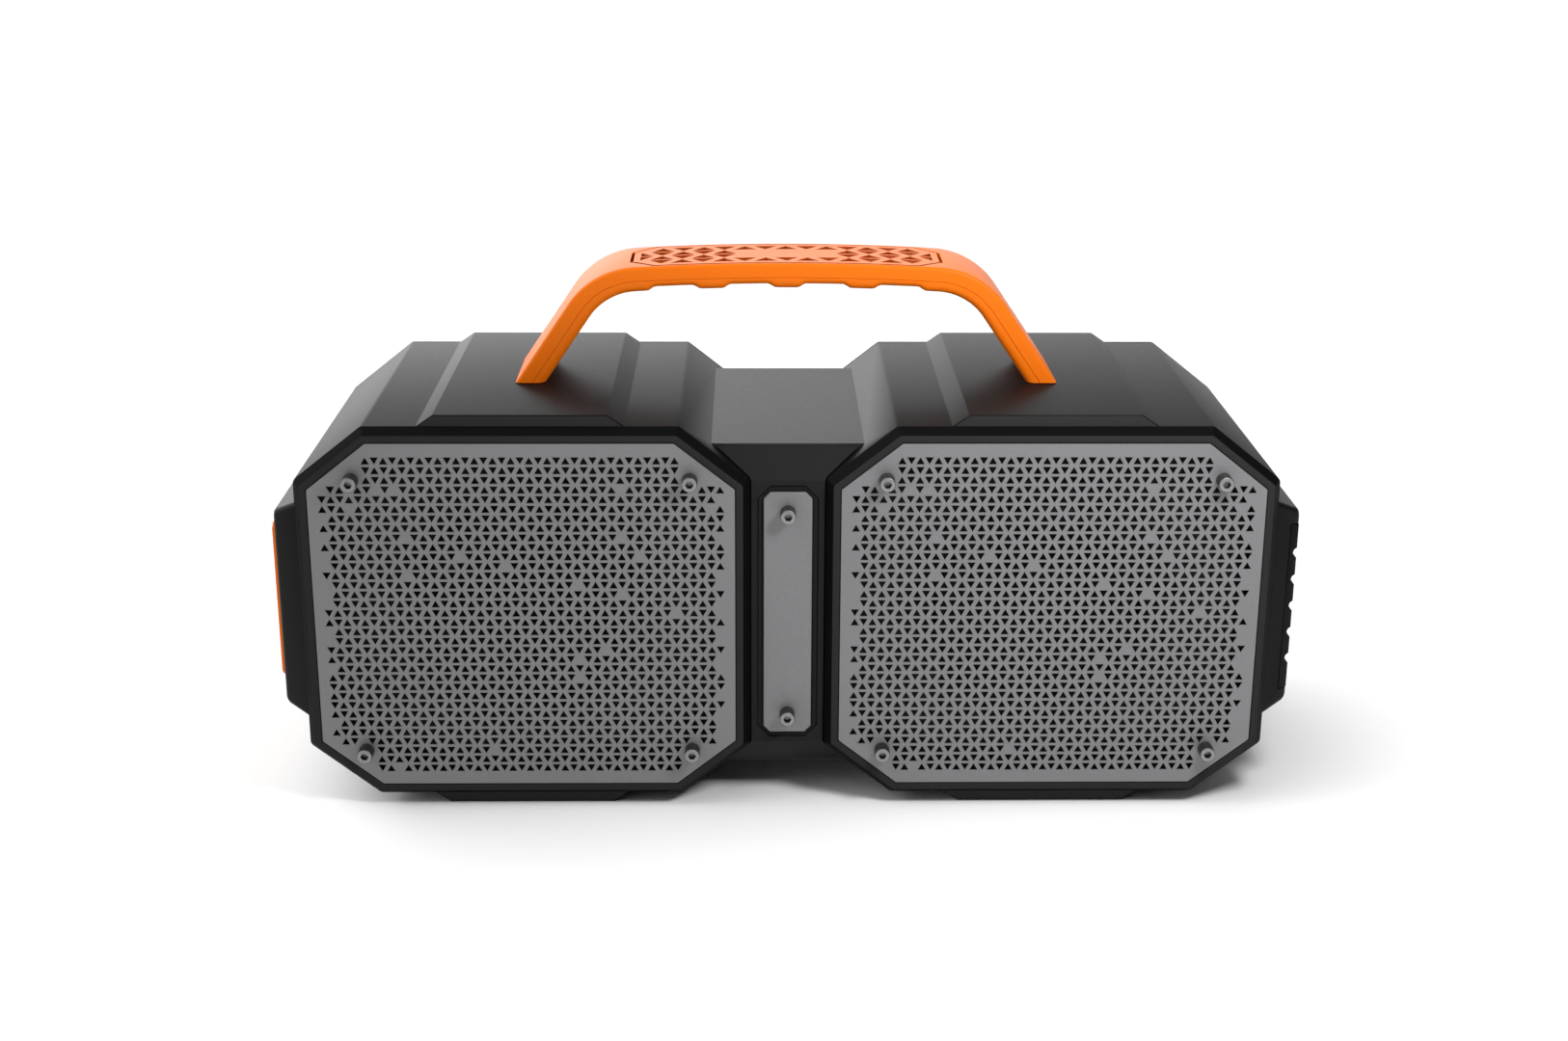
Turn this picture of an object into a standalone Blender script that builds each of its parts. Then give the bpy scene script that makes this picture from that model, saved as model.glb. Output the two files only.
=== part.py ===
"""Rugged portable loudspeaker: two grilled barrels, a carry handle, side keys and a port door.

Lengths are in millimetres and become metres where a mesh is made. +X is to the right of
someone facing the grilles, the grilles face -Y and +Z is up. The origin is on the floor,
under the middle of the outer box.
"""

import math

import bmesh
import bpy
from mathutils import Matrix, Vector

MM = 0.001

# Clearances
GAP = 0.3
OVERCUT = 2.0

# Grille plates, and the barrels around them; the barrels' spacing sets the plates' width
PLATE_HEIGHT = 140.8
PLATE_CHAMFER_X = 23.1
PLATE_CHAMFER_Z = 18.3
PLATE_THICKNESS = 1.2
BARREL_SPACING = 204.0
BODY_DEPTH = 144.2
WALL = 3.0
FRONT_WALL = 2.6
CORNER_RADIUS = 3.0
CORNER_STEPS = 2

# Triangular perforation: each hole stands for a cluster of the finer holes of the real plate
HOLE_SIDE = 10.0
HOLE_PITCH = 12.0
HOLE_ROW_PITCH = 13.0
HOLE_MARGIN = 4.0
HOLE_SCREW_CLEARANCE = 9.0

# Bezel rings
BEZEL_BAND = 3.2
BEZEL_RIM = 5.75
BEZEL_DEPTH = 4.2
BEZEL_LEDGE = 4.0
BEZEL_BOSS_RADIUS = 4.2
BEZEL_BOSS_LENGTH = 7.0

# Ribs along the top and bottom of each barrel
RIB_TOP_HALF = 33.1
RIB_BASE_HALF = 39.5
RIB_HEIGHT = 4.4

# Centre section between the barrels
VALLEY_DROP = 9.5
VALLEY_SETBACK = 13.7
PANEL_SLOPE_HEIGHT = 12.25
CENTRE_PLATE_WIDTH = 18.8
CENTRE_PLATE_HEIGHT = 99.8
CENTRE_PLATE_CHAMFER = 2.6
CENTRE_PLATE_THICKNESS = 1.6
CENTRE_PLATE_PROUD = 1.0
CENTRE_RECESS_MARGIN = 2.6
CENTRE_LAND = 2.7
CENTRE_SCREW_SPACING = 83.8

# Socket-head screws of the grilles and the centre plate
SCREW_INSET_X = 17.15
SCREW_INSET_Z = 14.4
SCREW_HEAD_RADIUS = 2.98
SCREW_HEAD_HEIGHT = 6.1
SCREW_SHANK_RADIUS = 1.5
SCREW_SHANK_LENGTH = 7.0
SCREW_SOCKET_RADIUS = 1.6
SCREW_SOCKET_DEPTH = 2.6
SCREW_HEAD_CHAMFER = 0.3
SCREW_STEPS = 8

# Rear cover and its pan-head screws
REAR_BOSS_RADIUS = 4.7
REAR_BOSS_LENGTH = 22.0
REAR_BOSS_WALL_OVERLAP = 0.6
REAR_HEAD_RADIUS = 3.2
REAR_HEAD_HEIGHT = 2.2
REAR_HEAD_CROWN = 0.7
REAR_SHANK_RADIUS = 1.4
REAR_SHANK_LENGTH = 12.0
REAR_SEAT = 1.6
REAR_SCREW_STEPS = 8

# Drivers; heights are measured forwards from the baffle's front face
BAFFLE_SETBACK = 14.0
DRIVER_HOLE_RADIUS = 47.0
DRIVER_FLANGE_RADIUS = 54.0
DRIVER_FLANGE_THICKNESS = 2.5
BASKET_WALL = 1.6
BASKET_DEPTH = 33.5
MOTOR_RADIUS = 32.0
MOTOR_LENGTH = 23.0
MOTOR_BEVEL = 4.0
POLE_RADIUS = 11.2
COIL_SLOT_RADIUS = 13.7
COIL_SLOT_DEPTH = 14.0
COIL_RADIUS = 12.8
COIL_WALL = 0.8
COIL_REACH = 6.5
CONE_RADIUS = 36.0
CONE_DEPTH = 15.0
CONE_WALL = 0.8
CONE_LIP = 3.0
DOME_HEIGHT = 4.5
DOME_SHOULDER_RADIUS = 7.7
DOME_SHOULDER_DROP = 1.4
CONE_TRAVEL = 3.0
ROLL_HEIGHT = 4.2
ROLL_WALL = 0.8
SURROUND_RIM = 8.0
SPIDER_HEIGHT = 1.6
SPIDER_WALL = 0.7
SPIDER_DROP = 19.0
SPIDER_WAVES = 2
ROLL_STEPS = 4
DRIVER_STEPS = 16

# Carry handle
HANDLE_TOP = 210.0
HANDLE_DEPTH = 42.0
HANDLE_THICKNESS = 10.0
HANDLE_SEAM = 5.6
HANDLE_CROWN_HALF = 60.3
HANDLE_CROWN_RISE = 1.65
HANDLE_SHOULDER_RADIUS = 34.0
HANDLE_LEG_ANGLE = math.radians(55.7)
HANDLE_EDGE = 3.2
HANDLE_EDGE_DROP = 2.4
HANDLE_ARC_STEPS = 5
HANDLE_CROWN_STEPS = 4
FINGER_PITCH = 29.7
FINGER_BUMP = 12.8
FINGER_DEPTH = 1.4
FINGER_SLOPE = 2.6
FINGER_COUNT = 4
PAD_LENGTH = 122.0
PAD_WIDTH = 36.0
PAD_CHAMFER = 7.0
PAD_THICKNESS = 1.8
PAD_GROOVE = 0.6
HANDLE_SCREW_INSET = 4.9
HANDLE_SCREW_BITE = 4.2

# Side bosses
POD_RISE = 10.75
POD_SETBACK = 12.0
POD_HALF_HEIGHT = 39.9
POD_TAPER = 5.2

# Orange key panel in the left boss
KEY_PANEL_MARGIN = 8.0
KEY_PANEL_HALF_HEIGHT = 32.2
KEY_PANEL_CHAMFER = 8.0
KEY_PANEL_PROUD = 2.2
KEY_PANEL_SEAT = 1.0
KEY_PANEL_BEVEL = 1.2
KEY_NAMES = ("power", "minus", "play", "plus", "pair")
KEY_PITCH = 19.0
KEY_WIDTH = 14.0
KEY_HEIGHT = 30.0
KEY_CHAMFER = 3.5
KEY_CLEARANCE = 0.4
KEY_SUNK = 0.2
KEY_FLANGE = 1.2
KEY_FLANGE_THICKNESS = 1.4
KEY_TRAVEL = 1.0
KEY_WELL_MARGIN = 0.8
BOARD_THICKNESS = 1.6
SWITCH_RADIUS = 3.0
SWITCH_HEIGHT = 1.8

# Ribbed port door in the right boss
DOOR_HALF_HEIGHT = 34.6
DOOR_THICKNESS = 3.6
DOOR_CLEARANCE = 0.4
DOOR_HINGE_INSET = 9.1
DOOR_PIN_RADIUS = 0.8
DOOR_PIN_CLEARANCE = 0.25
DOOR_PIN_BITE = 4.0
PIN_STEPS = 12
DOOR_KNUCKLE_STEPS = 6
DOOR_GROOVES = 5
DOOR_GROOVE_PITCH = 11.1
DOOR_GROOVE_WIDTH = 4.5
DOOR_GROOVE_DEPTH = 1.7
DOOR_GROOVE_STOP = 8.0

# Socket bay behind the door
BAY_HALF_DEPTH = 34.0
BAY_HALF_HEIGHT = 22.0
BAY_FORWARD = 8.0
PORT_PANEL_THICKNESS = 2.0
PORT_PANEL_LAP = 5.0
PORT_PITCH = 20.0
SOCKET_WALL = 1.4
SOCKET_LENGTH = 14.0
SOCKET_STEPS = 12
USB_WIDTH = 12.6
USB_HEIGHT = 5.2
CHARGE_RADIUS = 3.3
AUDIO_RADIUS = 1.8

# Battery and electronics
BATTERY_WIDTH = 58.0
BATTERY_HEIGHT = 39.0
BATTERY_LENGTH = 68.0
BATTERY_ROUND = 9.0
BATTERY_BACK = 62.0
STRAP_THICKNESS = 1.5
STRAP_WIDTH = 22.0
STRAP_FOOT = 10.0
MAIN_BOARD_WIDTH = 60.0
MAIN_BOARD_HEIGHT = 52.0
MAIN_BOARD_LIFT = 12.0
STANDOFF_RADIUS = 3.0
STANDOFF_LENGTH = 9.0
STANDOFF_INSET = 5.0
HEAT_SINK_SIZE = 24.0
HEAT_SINK_HEIGHT = 9.0

# Places that follow from the sizes above
CENTRE_GAP = CENTRE_PLATE_WIDTH + 2 * (CENTRE_RECESS_MARGIN + CENTRE_LAND)
PLATE_WIDTH = BARREL_SPACING - CENTRE_GAP - 2 * BEZEL_RIM
BARREL_X = BARREL_SPACING / 2
BARREL_Z = RIB_HEIGHT + BEZEL_RIM + PLATE_HEIGHT / 2
HALF_WIDTH = BARREL_X + PLATE_WIDTH / 2 + BEZEL_RIM
BARREL_HALF_HEIGHT = PLATE_HEIGHT / 2 + BEZEL_RIM
VALLEY_HALF_HEIGHT = BARREL_HALF_HEIGHT - VALLEY_DROP
PANEL_HALF_HEIGHT = VALLEY_HALF_HEIGHT - PANEL_SLOPE_HEIGHT
FRONT_Y = (GAP + SCREW_HEAD_HEIGHT - BODY_DEPTH) / 2
MID_Y = FRONT_Y + BODY_DEPTH / 2
CABINET_FRONT = FRONT_Y + BEZEL_DEPTH + GAP
CABINET_BACK = FRONT_Y + BODY_DEPTH - BEZEL_DEPTH - GAP
BAFFLE_Y = FRONT_Y + BAFFLE_SETBACK
BAFFLE_BACK_Y = BAFFLE_Y + WALL
POD_X = HALF_WIDTH + POD_RISE
POD_HALF_DEPTH = BODY_DEPTH / 2 - POD_SETBACK
RIB_TOP_Z = BARREL_Z + BARREL_HALF_HEIGHT + RIB_HEIGHT
FOOT_Z = RIB_TOP_Z + GAP
GRILLE_SCREW_X = PLATE_WIDTH / 2 - SCREW_INSET_X
GRILLE_SCREW_Z = PLATE_HEIGHT / 2 - SCREW_INSET_Z
SIDES = {"left": -1, "right": 1}
LEVELS = {"top": 1, "bottom": -1}
EDGES = {"outer": 1, "inner": -1}

# Curve plane to world: "Y" extrudes an (x, z) outline, "X" a (y, z) outline, "Z" an (x, y) one
PLANES = {
    "Z": Matrix.Identity(4),
    "Y": Matrix(((1, 0, 0, 0), (0, 0, -1, 0), (0, 1, 0, 0), (0, 0, 0, 1))),
    "X": Matrix(((0, 0, 1, 0), (1, 0, 0, 0), (0, 1, 0, 0), (0, 0, 0, 1))),
}
AXES = {"X": Vector((1, 0, 0)), "Y": Vector((0, 1, 0)), "Z": Vector((0, 0, 1))}
FACING_FRONT = (math.pi / 2, 0, 0)
FACING_BACK = (-math.pi / 2, 0, 0)
FACING_DOWN = (math.pi, 0, 0)


def clear_scene():
    """Remove every object of the open scene."""
    for item in list(bpy.data.objects):
        bpy.data.objects.remove(item, do_unlink=True)


def new_collection(name):
    """Add a collection to the scene and return it."""
    collection = bpy.data.collections.new(name)
    bpy.context.scene.collection.children.link(collection)
    return collection


def finish(name, colour, roughness, metallic=0.0):
    """Return a Principled material with a plain colour."""
    material = bpy.data.materials.new(name)
    material.use_nodes = True
    shader = material.node_tree.nodes["Principled BSDF"]
    shader.inputs["Base Color"].default_value = (*colour, 1.0)
    shader.inputs["Roughness"].default_value = roughness
    shader.inputs["Metallic"].default_value = metallic
    return material


clear_scene()
PARTS = new_collection("portable_loudspeaker")
CUTTERS = new_collection("cutters")
BODY_BLACK = finish("body_black", (0.05, 0.05, 0.052), 0.55)
TRIM_BLACK = finish("trim_black", (0.022, 0.022, 0.024), 0.45)
GRILLE_GREY = finish("grille_grey", (0.23, 0.23, 0.24), 0.5, 0.7)
SCREW_STEEL = finish("screw_steel", (0.3, 0.3, 0.31), 0.4, 0.9)
ORANGE = finish("orange_plastic", (0.9, 0.24, 0.035), 0.45)
RUBBER = finish("black_rubber", (0.02, 0.02, 0.02), 0.8)
PAPER = finish("cone_paper", (0.03, 0.03, 0.032), 0.9)
DARK_STEEL = finish("dark_steel", (0.08, 0.08, 0.085), 0.5, 0.8)
COPPER = finish("copper_winding", (0.6, 0.28, 0.12), 0.4, 0.9)
BOARD_GREEN = finish("circuit_board", (0.02, 0.12, 0.05), 0.5)
CELL_WRAP = finish("battery_wrap", (0.03, 0.1, 0.3), 0.4)
SOCKET_METAL = finish("socket_metal", (0.55, 0.55, 0.56), 0.35, 1.0)


def place(name, mesh, material=None, location=(0, 0, 0), rotation=(0, 0, 0)):
    """Make a part from a mesh, or a cutter where no material is given."""
    item = bpy.data.objects.new(name, mesh)
    item.location = Vector(location) * MM
    item.rotation_euler = rotation
    if material is None:
        CUTTERS.objects.link(item)
        item.hide_render = True
        item.display_type = "WIRE"
    else:
        PARTS.objects.link(item)
        mesh.materials.append(material)
    return item


def cut(item, cutter, operation="DIFFERENCE"):
    """Add an exact Boolean to an object and return the object."""
    modifier = item.modifiers.new(cutter.name, "BOOLEAN")
    modifier.operation = operation
    modifier.solver = "EXACT"
    modifier.object = cutter
    return item


def join(item, other):
    """Unite an object with a helper solid."""
    return cut(item, other, "UNION")


def extruded(name, outlines, start, end, plane):
    """Mesh of flat outlines, holes included, extruded between two places on an axis."""
    curve = bpy.data.curves.new(name, "CURVE")
    curve.dimensions = "2D"
    curve.fill_mode = "BOTH"
    curve.extrude = abs(end - start) / 2 * MM
    for outline in outlines:
        spline = curve.splines.new("POLY")
        spline.points.add(len(outline) - 1)
        for point, (across, up) in zip(spline.points, outline):
            point.co = (across * MM, up * MM, 0.0, 1.0)
        spline.use_cyclic_u = True
    holder = bpy.data.objects.new(name, curve)
    bpy.context.scene.collection.objects.link(holder)
    graph = bpy.context.evaluated_depsgraph_get()
    mesh = bpy.data.meshes.new_from_object(holder.evaluated_get(graph))
    bpy.data.objects.remove(holder)
    middle = AXES[plane] * (start + end) / 2 * MM
    solid = bmesh.new()
    solid.from_mesh(mesh)
    bmesh.ops.remove_doubles(solid, verts=solid.verts, dist=1e-6)
    bmesh.ops.transform(solid, matrix=Matrix.Translation(middle) @ PLANES[plane], verts=solid.verts)
    bmesh.ops.recalc_face_normals(solid, faces=solid.faces)
    solid.to_mesh(mesh)
    solid.free()
    mesh.name = name
    return mesh


def lofted(name, sections, plane):
    """Mesh through outlines with equal point counts, each given with its place on the axis."""
    solid = bmesh.new()
    rings = []
    for where, outline in sections:
        shift = Matrix.Translation(AXES[plane] * where * MM) @ PLANES[plane]
        ring = [solid.verts.new(shift @ Vector((u * MM, v * MM, 0.0))) for u, v in outline]
        rings.append(ring)
    for near, far in zip(rings, rings[1:]):
        for index in range(len(near)):
            follow = (index + 1) % len(near)
            solid.faces.new((near[index], near[follow], far[follow], far[index]))
    solid.faces.new(rings[0])
    solid.faces.new(rings[-1])
    bmesh.ops.recalc_face_normals(solid, faces=solid.faces)
    mesh = bpy.data.meshes.new(name)
    solid.to_mesh(mesh)
    solid.free()
    return mesh


def turned(name, profile, steps, closed=False):
    """Profile mesh of a turned piece: radius and height, down its outer side."""
    mesh = bpy.data.meshes.new(name)
    points = [(radius * MM, 0.0, height * MM) for radius, height in profile]
    edges = [(index, index + 1) for index in range(len(points) - 1)]
    if closed:
        edges.append((len(points) - 1, 0))
    mesh.from_pydata(points, edges, [])
    mesh["turn_steps"] = steps
    return mesh


def spin(item):
    """Turn a profile around its own Z axis with a Screw modifier."""
    modifier = item.modifiers.new("turn", "SCREW")
    modifier.axis = "Z"
    modifier.angle = math.tau
    modifier.steps = item.data["turn_steps"]
    modifier.render_steps = modifier.steps
    modifier.use_merge_vertices = True
    modifier.merge_threshold = 1e-6
    modifier.use_smooth_shade = True
    return item


def carve(item, name, outlines, start, end, plane):
    """Cut extruded outlines out of an object and return the object."""
    return cut(item, place(name, extruded(name, outlines, start, end, plane)))


def attach(item, name, outlines, start, end, plane):
    """Unite extruded outlines with an object and return the object."""
    return join(item, place(name, extruded(name, outlines, start, end, plane)))


def circle(radius, steps, across=0.0, up=0.0):
    """Outline of a regular polygon around a point."""
    angles = [math.tau * (step + 0.5) / steps for step in range(steps)]
    return [(across + radius * math.cos(a), up + radius * math.sin(a)) for a in angles]


def box(half_across, half_up, across=0.0, up=0.0):
    """Outline of a rectangle around a point."""
    corners = ((1, 1), (-1, 1), (-1, -1), (1, -1))
    return [(across + half_across * h, up + half_up * v) for h, v in corners]


def octagon(half_across, half_up, cut_across, cut_up):
    """Outline of a rectangle with chamfered corners around (0, 0), counter-clockwise."""
    corner = ((half_across, half_up - cut_up), (half_across - cut_across, half_up))
    turned_over = [(-h, v) for h, v in reversed(corner)]
    upper = [*corner, *turned_over]
    return [*upper, *[(-h, -v) for h, v in upper]]


def moved(outline, across, up):
    """Outline shifted in its plane."""
    return [(h + across, v + up) for h, v in outline]


def rounded(outline, radius, steps):
    """Outline with an arc of the given radius at every corner."""
    result = []
    for index, corner in enumerate(outline):
        here = Vector(corner)
        before = (Vector(outline[index - 1]) - here).normalized()
        after = (Vector(outline[(index + 1) % len(outline)]) - here).normalized()
        half = before.angle(after) / 2
        reach = radius / math.tan(half)
        start = here + before * reach
        end = here + after * reach
        centre = here + (before + after).normalized() * radius / math.sin(half)
        for step in range(steps + 1):
            chord = start.lerp(end, step / steps) - centre
            point = centre + chord.normalized() * radius
            result.append((point.x, point.y))
    return result


def barrel_outline(offset):
    """Octagon parallel to the grille plate's edge, at an offset outside it."""
    slope = math.atan2(PLATE_CHAMFER_Z, PLATE_CHAMFER_X)
    cut_x = PLATE_CHAMFER_X + offset * (1 - math.tan(slope / 2))
    cut_z = PLATE_CHAMFER_Z + offset * (1 - math.tan((math.pi / 2 - slope) / 2))
    return octagon(PLATE_WIDTH / 2 + offset, PLATE_HEIGHT / 2 + offset, cut_x, cut_z)


def round_barrel(offset):
    """Barrel outline with softly rounded corners."""
    return rounded(barrel_outline(offset), CORNER_RADIUS, CORNER_STEPS)


def ribbed_barrel():
    """Cabinet outline of one barrel with its top and bottom ribs."""
    outline = round_barrel(BEZEL_RIM)
    half = len(outline) // 2
    quarter = half // 2
    rib = [(RIB_BASE_HALF, BARREL_HALF_HEIGHT), (RIB_TOP_HALF, BARREL_HALF_HEIGHT + RIB_HEIGHT)]
    rib += [(-h, v) for h, v in reversed(rib)]
    upper = [*outline[:quarter], *rib, *outline[quarter:half]]
    return [*upper, *[(-h, -v) for h, v in upper]]


def both_barrels(outline):
    """The same outline around the left and the right barrel's centre."""
    return [moved(outline, side * BARREL_X, BARREL_Z) for side in SIDES.values()]


def corner_points(half_across, half_up, side):
    """Names and places of a barrel's four corner points; outer is away from the middle."""
    for level, up in LEVELS.items():
        for edge, out in EDGES.items():
            yield f"{level}_{edge}", side * (BARREL_X + out * half_across), BARREL_Z + up * half_up


def rear_screw_place():
    """Half distances of the rear screws from a barrel's centre, along the chamfer's normal."""
    normal = Vector((PLATE_CHAMFER_Z, PLATE_CHAMFER_X)).normalized()
    inset = WALL + REAR_BOSS_RADIUS - REAR_BOSS_WALL_OVERLAP - BEZEL_RIM
    middle = Vector(
        (PLATE_WIDTH / 2 - PLATE_CHAMFER_X / 2, PLATE_HEIGHT / 2 - PLATE_CHAMFER_Z / 2)
    )
    return middle - normal * inset


def pod_mesh(name, side, start, end):
    """Boss with sloping sides on one end of the cabinet, between two heights above the wall."""
    sections = []
    for rise in (start, end):
        grow = POD_TAPER * (1 - rise / POD_RISE)
        outline = box(POD_HALF_DEPTH + grow, POD_HALF_HEIGHT + grow, MID_Y, BARREL_Z)
        sections.append((side * (HALF_WIDTH + rise), outline))
    return lofted(name, sections, "X")


def centre_profile(inset, front, back):
    """Depth and height outline of the centre section, with its rear slopes."""
    high = VALLEY_HALF_HEIGHT - inset
    low = PANEL_HALF_HEIGHT - inset
    slope_start = CABINET_BACK - (VALLEY_SETBACK - BEZEL_DEPTH - GAP) - inset
    slope_end = CABINET_BACK - inset
    upper = [(back, low), (slope_end, low), (slope_start, high), (front, high)]
    if back <= slope_end:
        upper = upper[1:]
    lower = [(h, -v) for h, v in reversed(upper)]
    return moved([*upper, *lower], 0.0, BARREL_Z)


def cabinet():
    """Moulded housing: ribbed barrels, centre section, side bosses, baffle and rear bosses."""
    inner_reach = BARREL_X - RIB_BASE_HALF
    front = FRONT_Y + VALLEY_SETBACK
    mesh = extruded("cabinet", [centre_profile(0.0, front, CABINET_BACK)], -inner_reach, inner_reach, "X")
    item = place("cabinet", mesh, BODY_BLACK)
    for name, side in SIDES.items():
        outline = moved(ribbed_barrel(), side * BARREL_X, BARREL_Z)
        attach(item, f"barrel_{name}", [outline], CABINET_FRONT, CABINET_BACK, "Y")
        join(item, place(f"pod_{name}", pod_mesh(f"pod_{name}", side, -WALL / 2, POD_RISE)))
    hollow = barrel_outline(BEZEL_RIM - WALL)
    past_back = CABINET_BACK + OVERCUT
    for name, side in SIDES.items():
        outline = moved(hollow, side * BARREL_X, BARREL_Z)
        carve(item, f"room_{name}", [outline], BAFFLE_BACK_Y, past_back, "Y")
        outline = moved(barrel_outline(BEZEL_RIM - FRONT_WALL), side * BARREL_X, BARREL_Z)
        carve(item, f"recess_{name}", [outline], CABINET_FRONT - OVERCUT, BAFFLE_Y, "Y")
    middle = [centre_profile(WALL, front + WALL, past_back)]
    carve(item, "room_centre", middle, -inner_reach, inner_reach, "X")
    holes = both_barrels(circle(DRIVER_HOLE_RADIUS / math.cos(math.pi / DRIVER_STEPS), DRIVER_STEPS))
    carve(item, "driver_holes", holes, BAFFLE_Y - OVERCUT, BAFFLE_BACK_Y + OVERCUT, "Y")
    rear_fastening(item)
    handle_fastening(item)
    key_well(item)
    port_bay(item)
    for modifier in item.modifiers:
        # The exact solver leaves slivers at the corners of the hollow rooms
        modifier.solver = "MANIFOLD"
    return item


def rear_fastening(item):
    """Add the rear screw bosses to the cabinet and drill them."""
    place_x, place_z = rear_screw_place()
    spots = [spot for side in SIDES.values() for spot in corner_points(place_x, place_z, side)]
    bosses = [circle(REAR_BOSS_RADIUS, REAR_SCREW_STEPS, x, z) for _, x, z in spots]
    holes = [circle(REAR_SHANK_RADIUS + GAP, REAR_SCREW_STEPS, x, z) for _, x, z in spots]
    end = CABINET_BACK - GAP
    attach(item, "rear_bosses", bosses, end - REAR_BOSS_LENGTH, end, "Y")
    depth = REAR_SHANK_LENGTH + OVERCUT
    carve(item, "rear_holes", holes, end - depth, end + OVERCUT, "Y")


def handle_screw_x():
    """Distance of the handle screws from the middle, inside the shell's feet."""
    return abs(handle_line(0.0)[0][0]) - HANDLE_SCREW_INSET


def handle_fastening(item):
    """Drill the cabinet's top for the two handle screws."""
    holes = [circle(REAR_SHANK_RADIUS + GAP, REAR_SCREW_STEPS, side * handle_screw_x(), MID_Y)
             for side in SIDES.values()]
    low = BARREL_Z + BARREL_HALF_HEIGHT - WALL - OVERCUT
    carve(item, "handle_holes", holes, low, RIB_TOP_Z + OVERCUT, "Z")


def key_panel_outline(offset):
    """Chamfered outline of the key panel, in depth and height."""
    outline = octagon(POD_HALF_DEPTH - KEY_PANEL_MARGIN + offset, KEY_PANEL_HALF_HEIGHT + offset,
                      KEY_PANEL_CHAMFER, KEY_PANEL_CHAMFER)
    return moved(outline, MID_Y, BARREL_Z)


def key_centres():
    """Name and depth of each key, in a row along the left side."""
    first = MID_Y - KEY_PITCH * (len(KEY_NAMES) - 1) / 2
    return [(name, first + KEY_PITCH * index) for index, name in enumerate(KEY_NAMES)]


def key_outline(offset, depth):
    """Chamfered outline of a key at a given depth, grown by an offset."""
    outline = octagon(KEY_WIDTH / 2 + offset, KEY_HEIGHT / 2 + offset, KEY_CHAMFER, KEY_CHAMFER)
    return moved(outline, depth, BARREL_Z)


def key_well_size(inset):
    """Half depth and half height of the well behind the keys."""
    reach = KEY_FLANGE + KEY_WELL_MARGIN - inset
    half_row = KEY_PITCH * (len(KEY_NAMES) - 1) / 2 + KEY_WIDTH / 2
    return half_row + reach, KEY_HEIGHT / 2 + reach


PANEL_SEAT_X = POD_X - KEY_PANEL_SEAT
PANEL_INNER_X = PANEL_SEAT_X + GAP
PANEL_OUTER_X = POD_X + KEY_PANEL_PROUD
FLANGE_OUTER_X = PANEL_INNER_X - GAP
FLANGE_INNER_X = FLANGE_OUTER_X - KEY_FLANGE_THICKNESS
SWITCH_TOP_X = FLANGE_INNER_X - KEY_TRAVEL - GAP
BOARD_OUTER_X = SWITCH_TOP_X - SWITCH_HEIGHT
BOARD_INNER_X = BOARD_OUTER_X - BOARD_THICKNESS
WELL_FLOOR_X = BOARD_INNER_X - GAP


def key_well(item):
    """Sink the panel's seat and the well for keys and board into the left boss."""
    carve(item, "key_seat", [key_panel_outline(GAP)], -PANEL_SEAT_X, -POD_X - OVERCUT, "X")
    well = box(*key_well_size(0.0), MID_Y, BARREL_Z)
    carve(item, "key_well", [well], -WELL_FLOOR_X, -POD_X - OVERCUT, "X")


DOOR_INNER_X = POD_X - DOOR_THICKNESS
DOOR_AXIS_X = POD_X - DOOR_THICKNESS / 2
DOOR_AXIS_Y = MID_Y + POD_HALF_DEPTH - DOOR_HINGE_INSET
BAY_Y = MID_Y - BAY_FORWARD
PORT_PANEL_X = HALF_WIDTH - WALL - GAP


def port_bay(item):
    """Cut the door's pocket, its pin holes and the socket bay into the right boss."""
    knuckle = DOOR_THICKNESS / 2 + DOOR_CLEARANCE
    front = MID_Y - POD_HALF_DEPTH - POD_TAPER - OVERCUT
    half_height = DOOR_HALF_HEIGHT + DOOR_CLEARANCE
    middle = (front + DOOR_AXIS_Y + knuckle) / 2
    pocket = box(DOOR_AXIS_Y + knuckle - middle, half_height, middle, BARREL_Z)
    floor = DOOR_INNER_X - GAP
    carve(item, "door_pocket", [pocket], floor, POD_X + OVERCUT, "X")
    pin_hole = circle(DOOR_PIN_RADIUS + DOOR_PIN_CLEARANCE, PIN_STEPS, DOOR_AXIS_X, DOOR_AXIS_Y)
    reach = DOOR_HALF_HEIGHT + DOOR_PIN_BITE + GAP
    carve(item, "pin_hole", [pin_hole], BARREL_Z - reach, BARREL_Z + reach, "Z")
    bay = box(BAY_HALF_DEPTH, BAY_HALF_HEIGHT, BAY_Y, BARREL_Z)
    carve(item, "socket_bay", [bay], HALF_WIDTH - WALL - OVERCUT, POD_X, "X")


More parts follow.
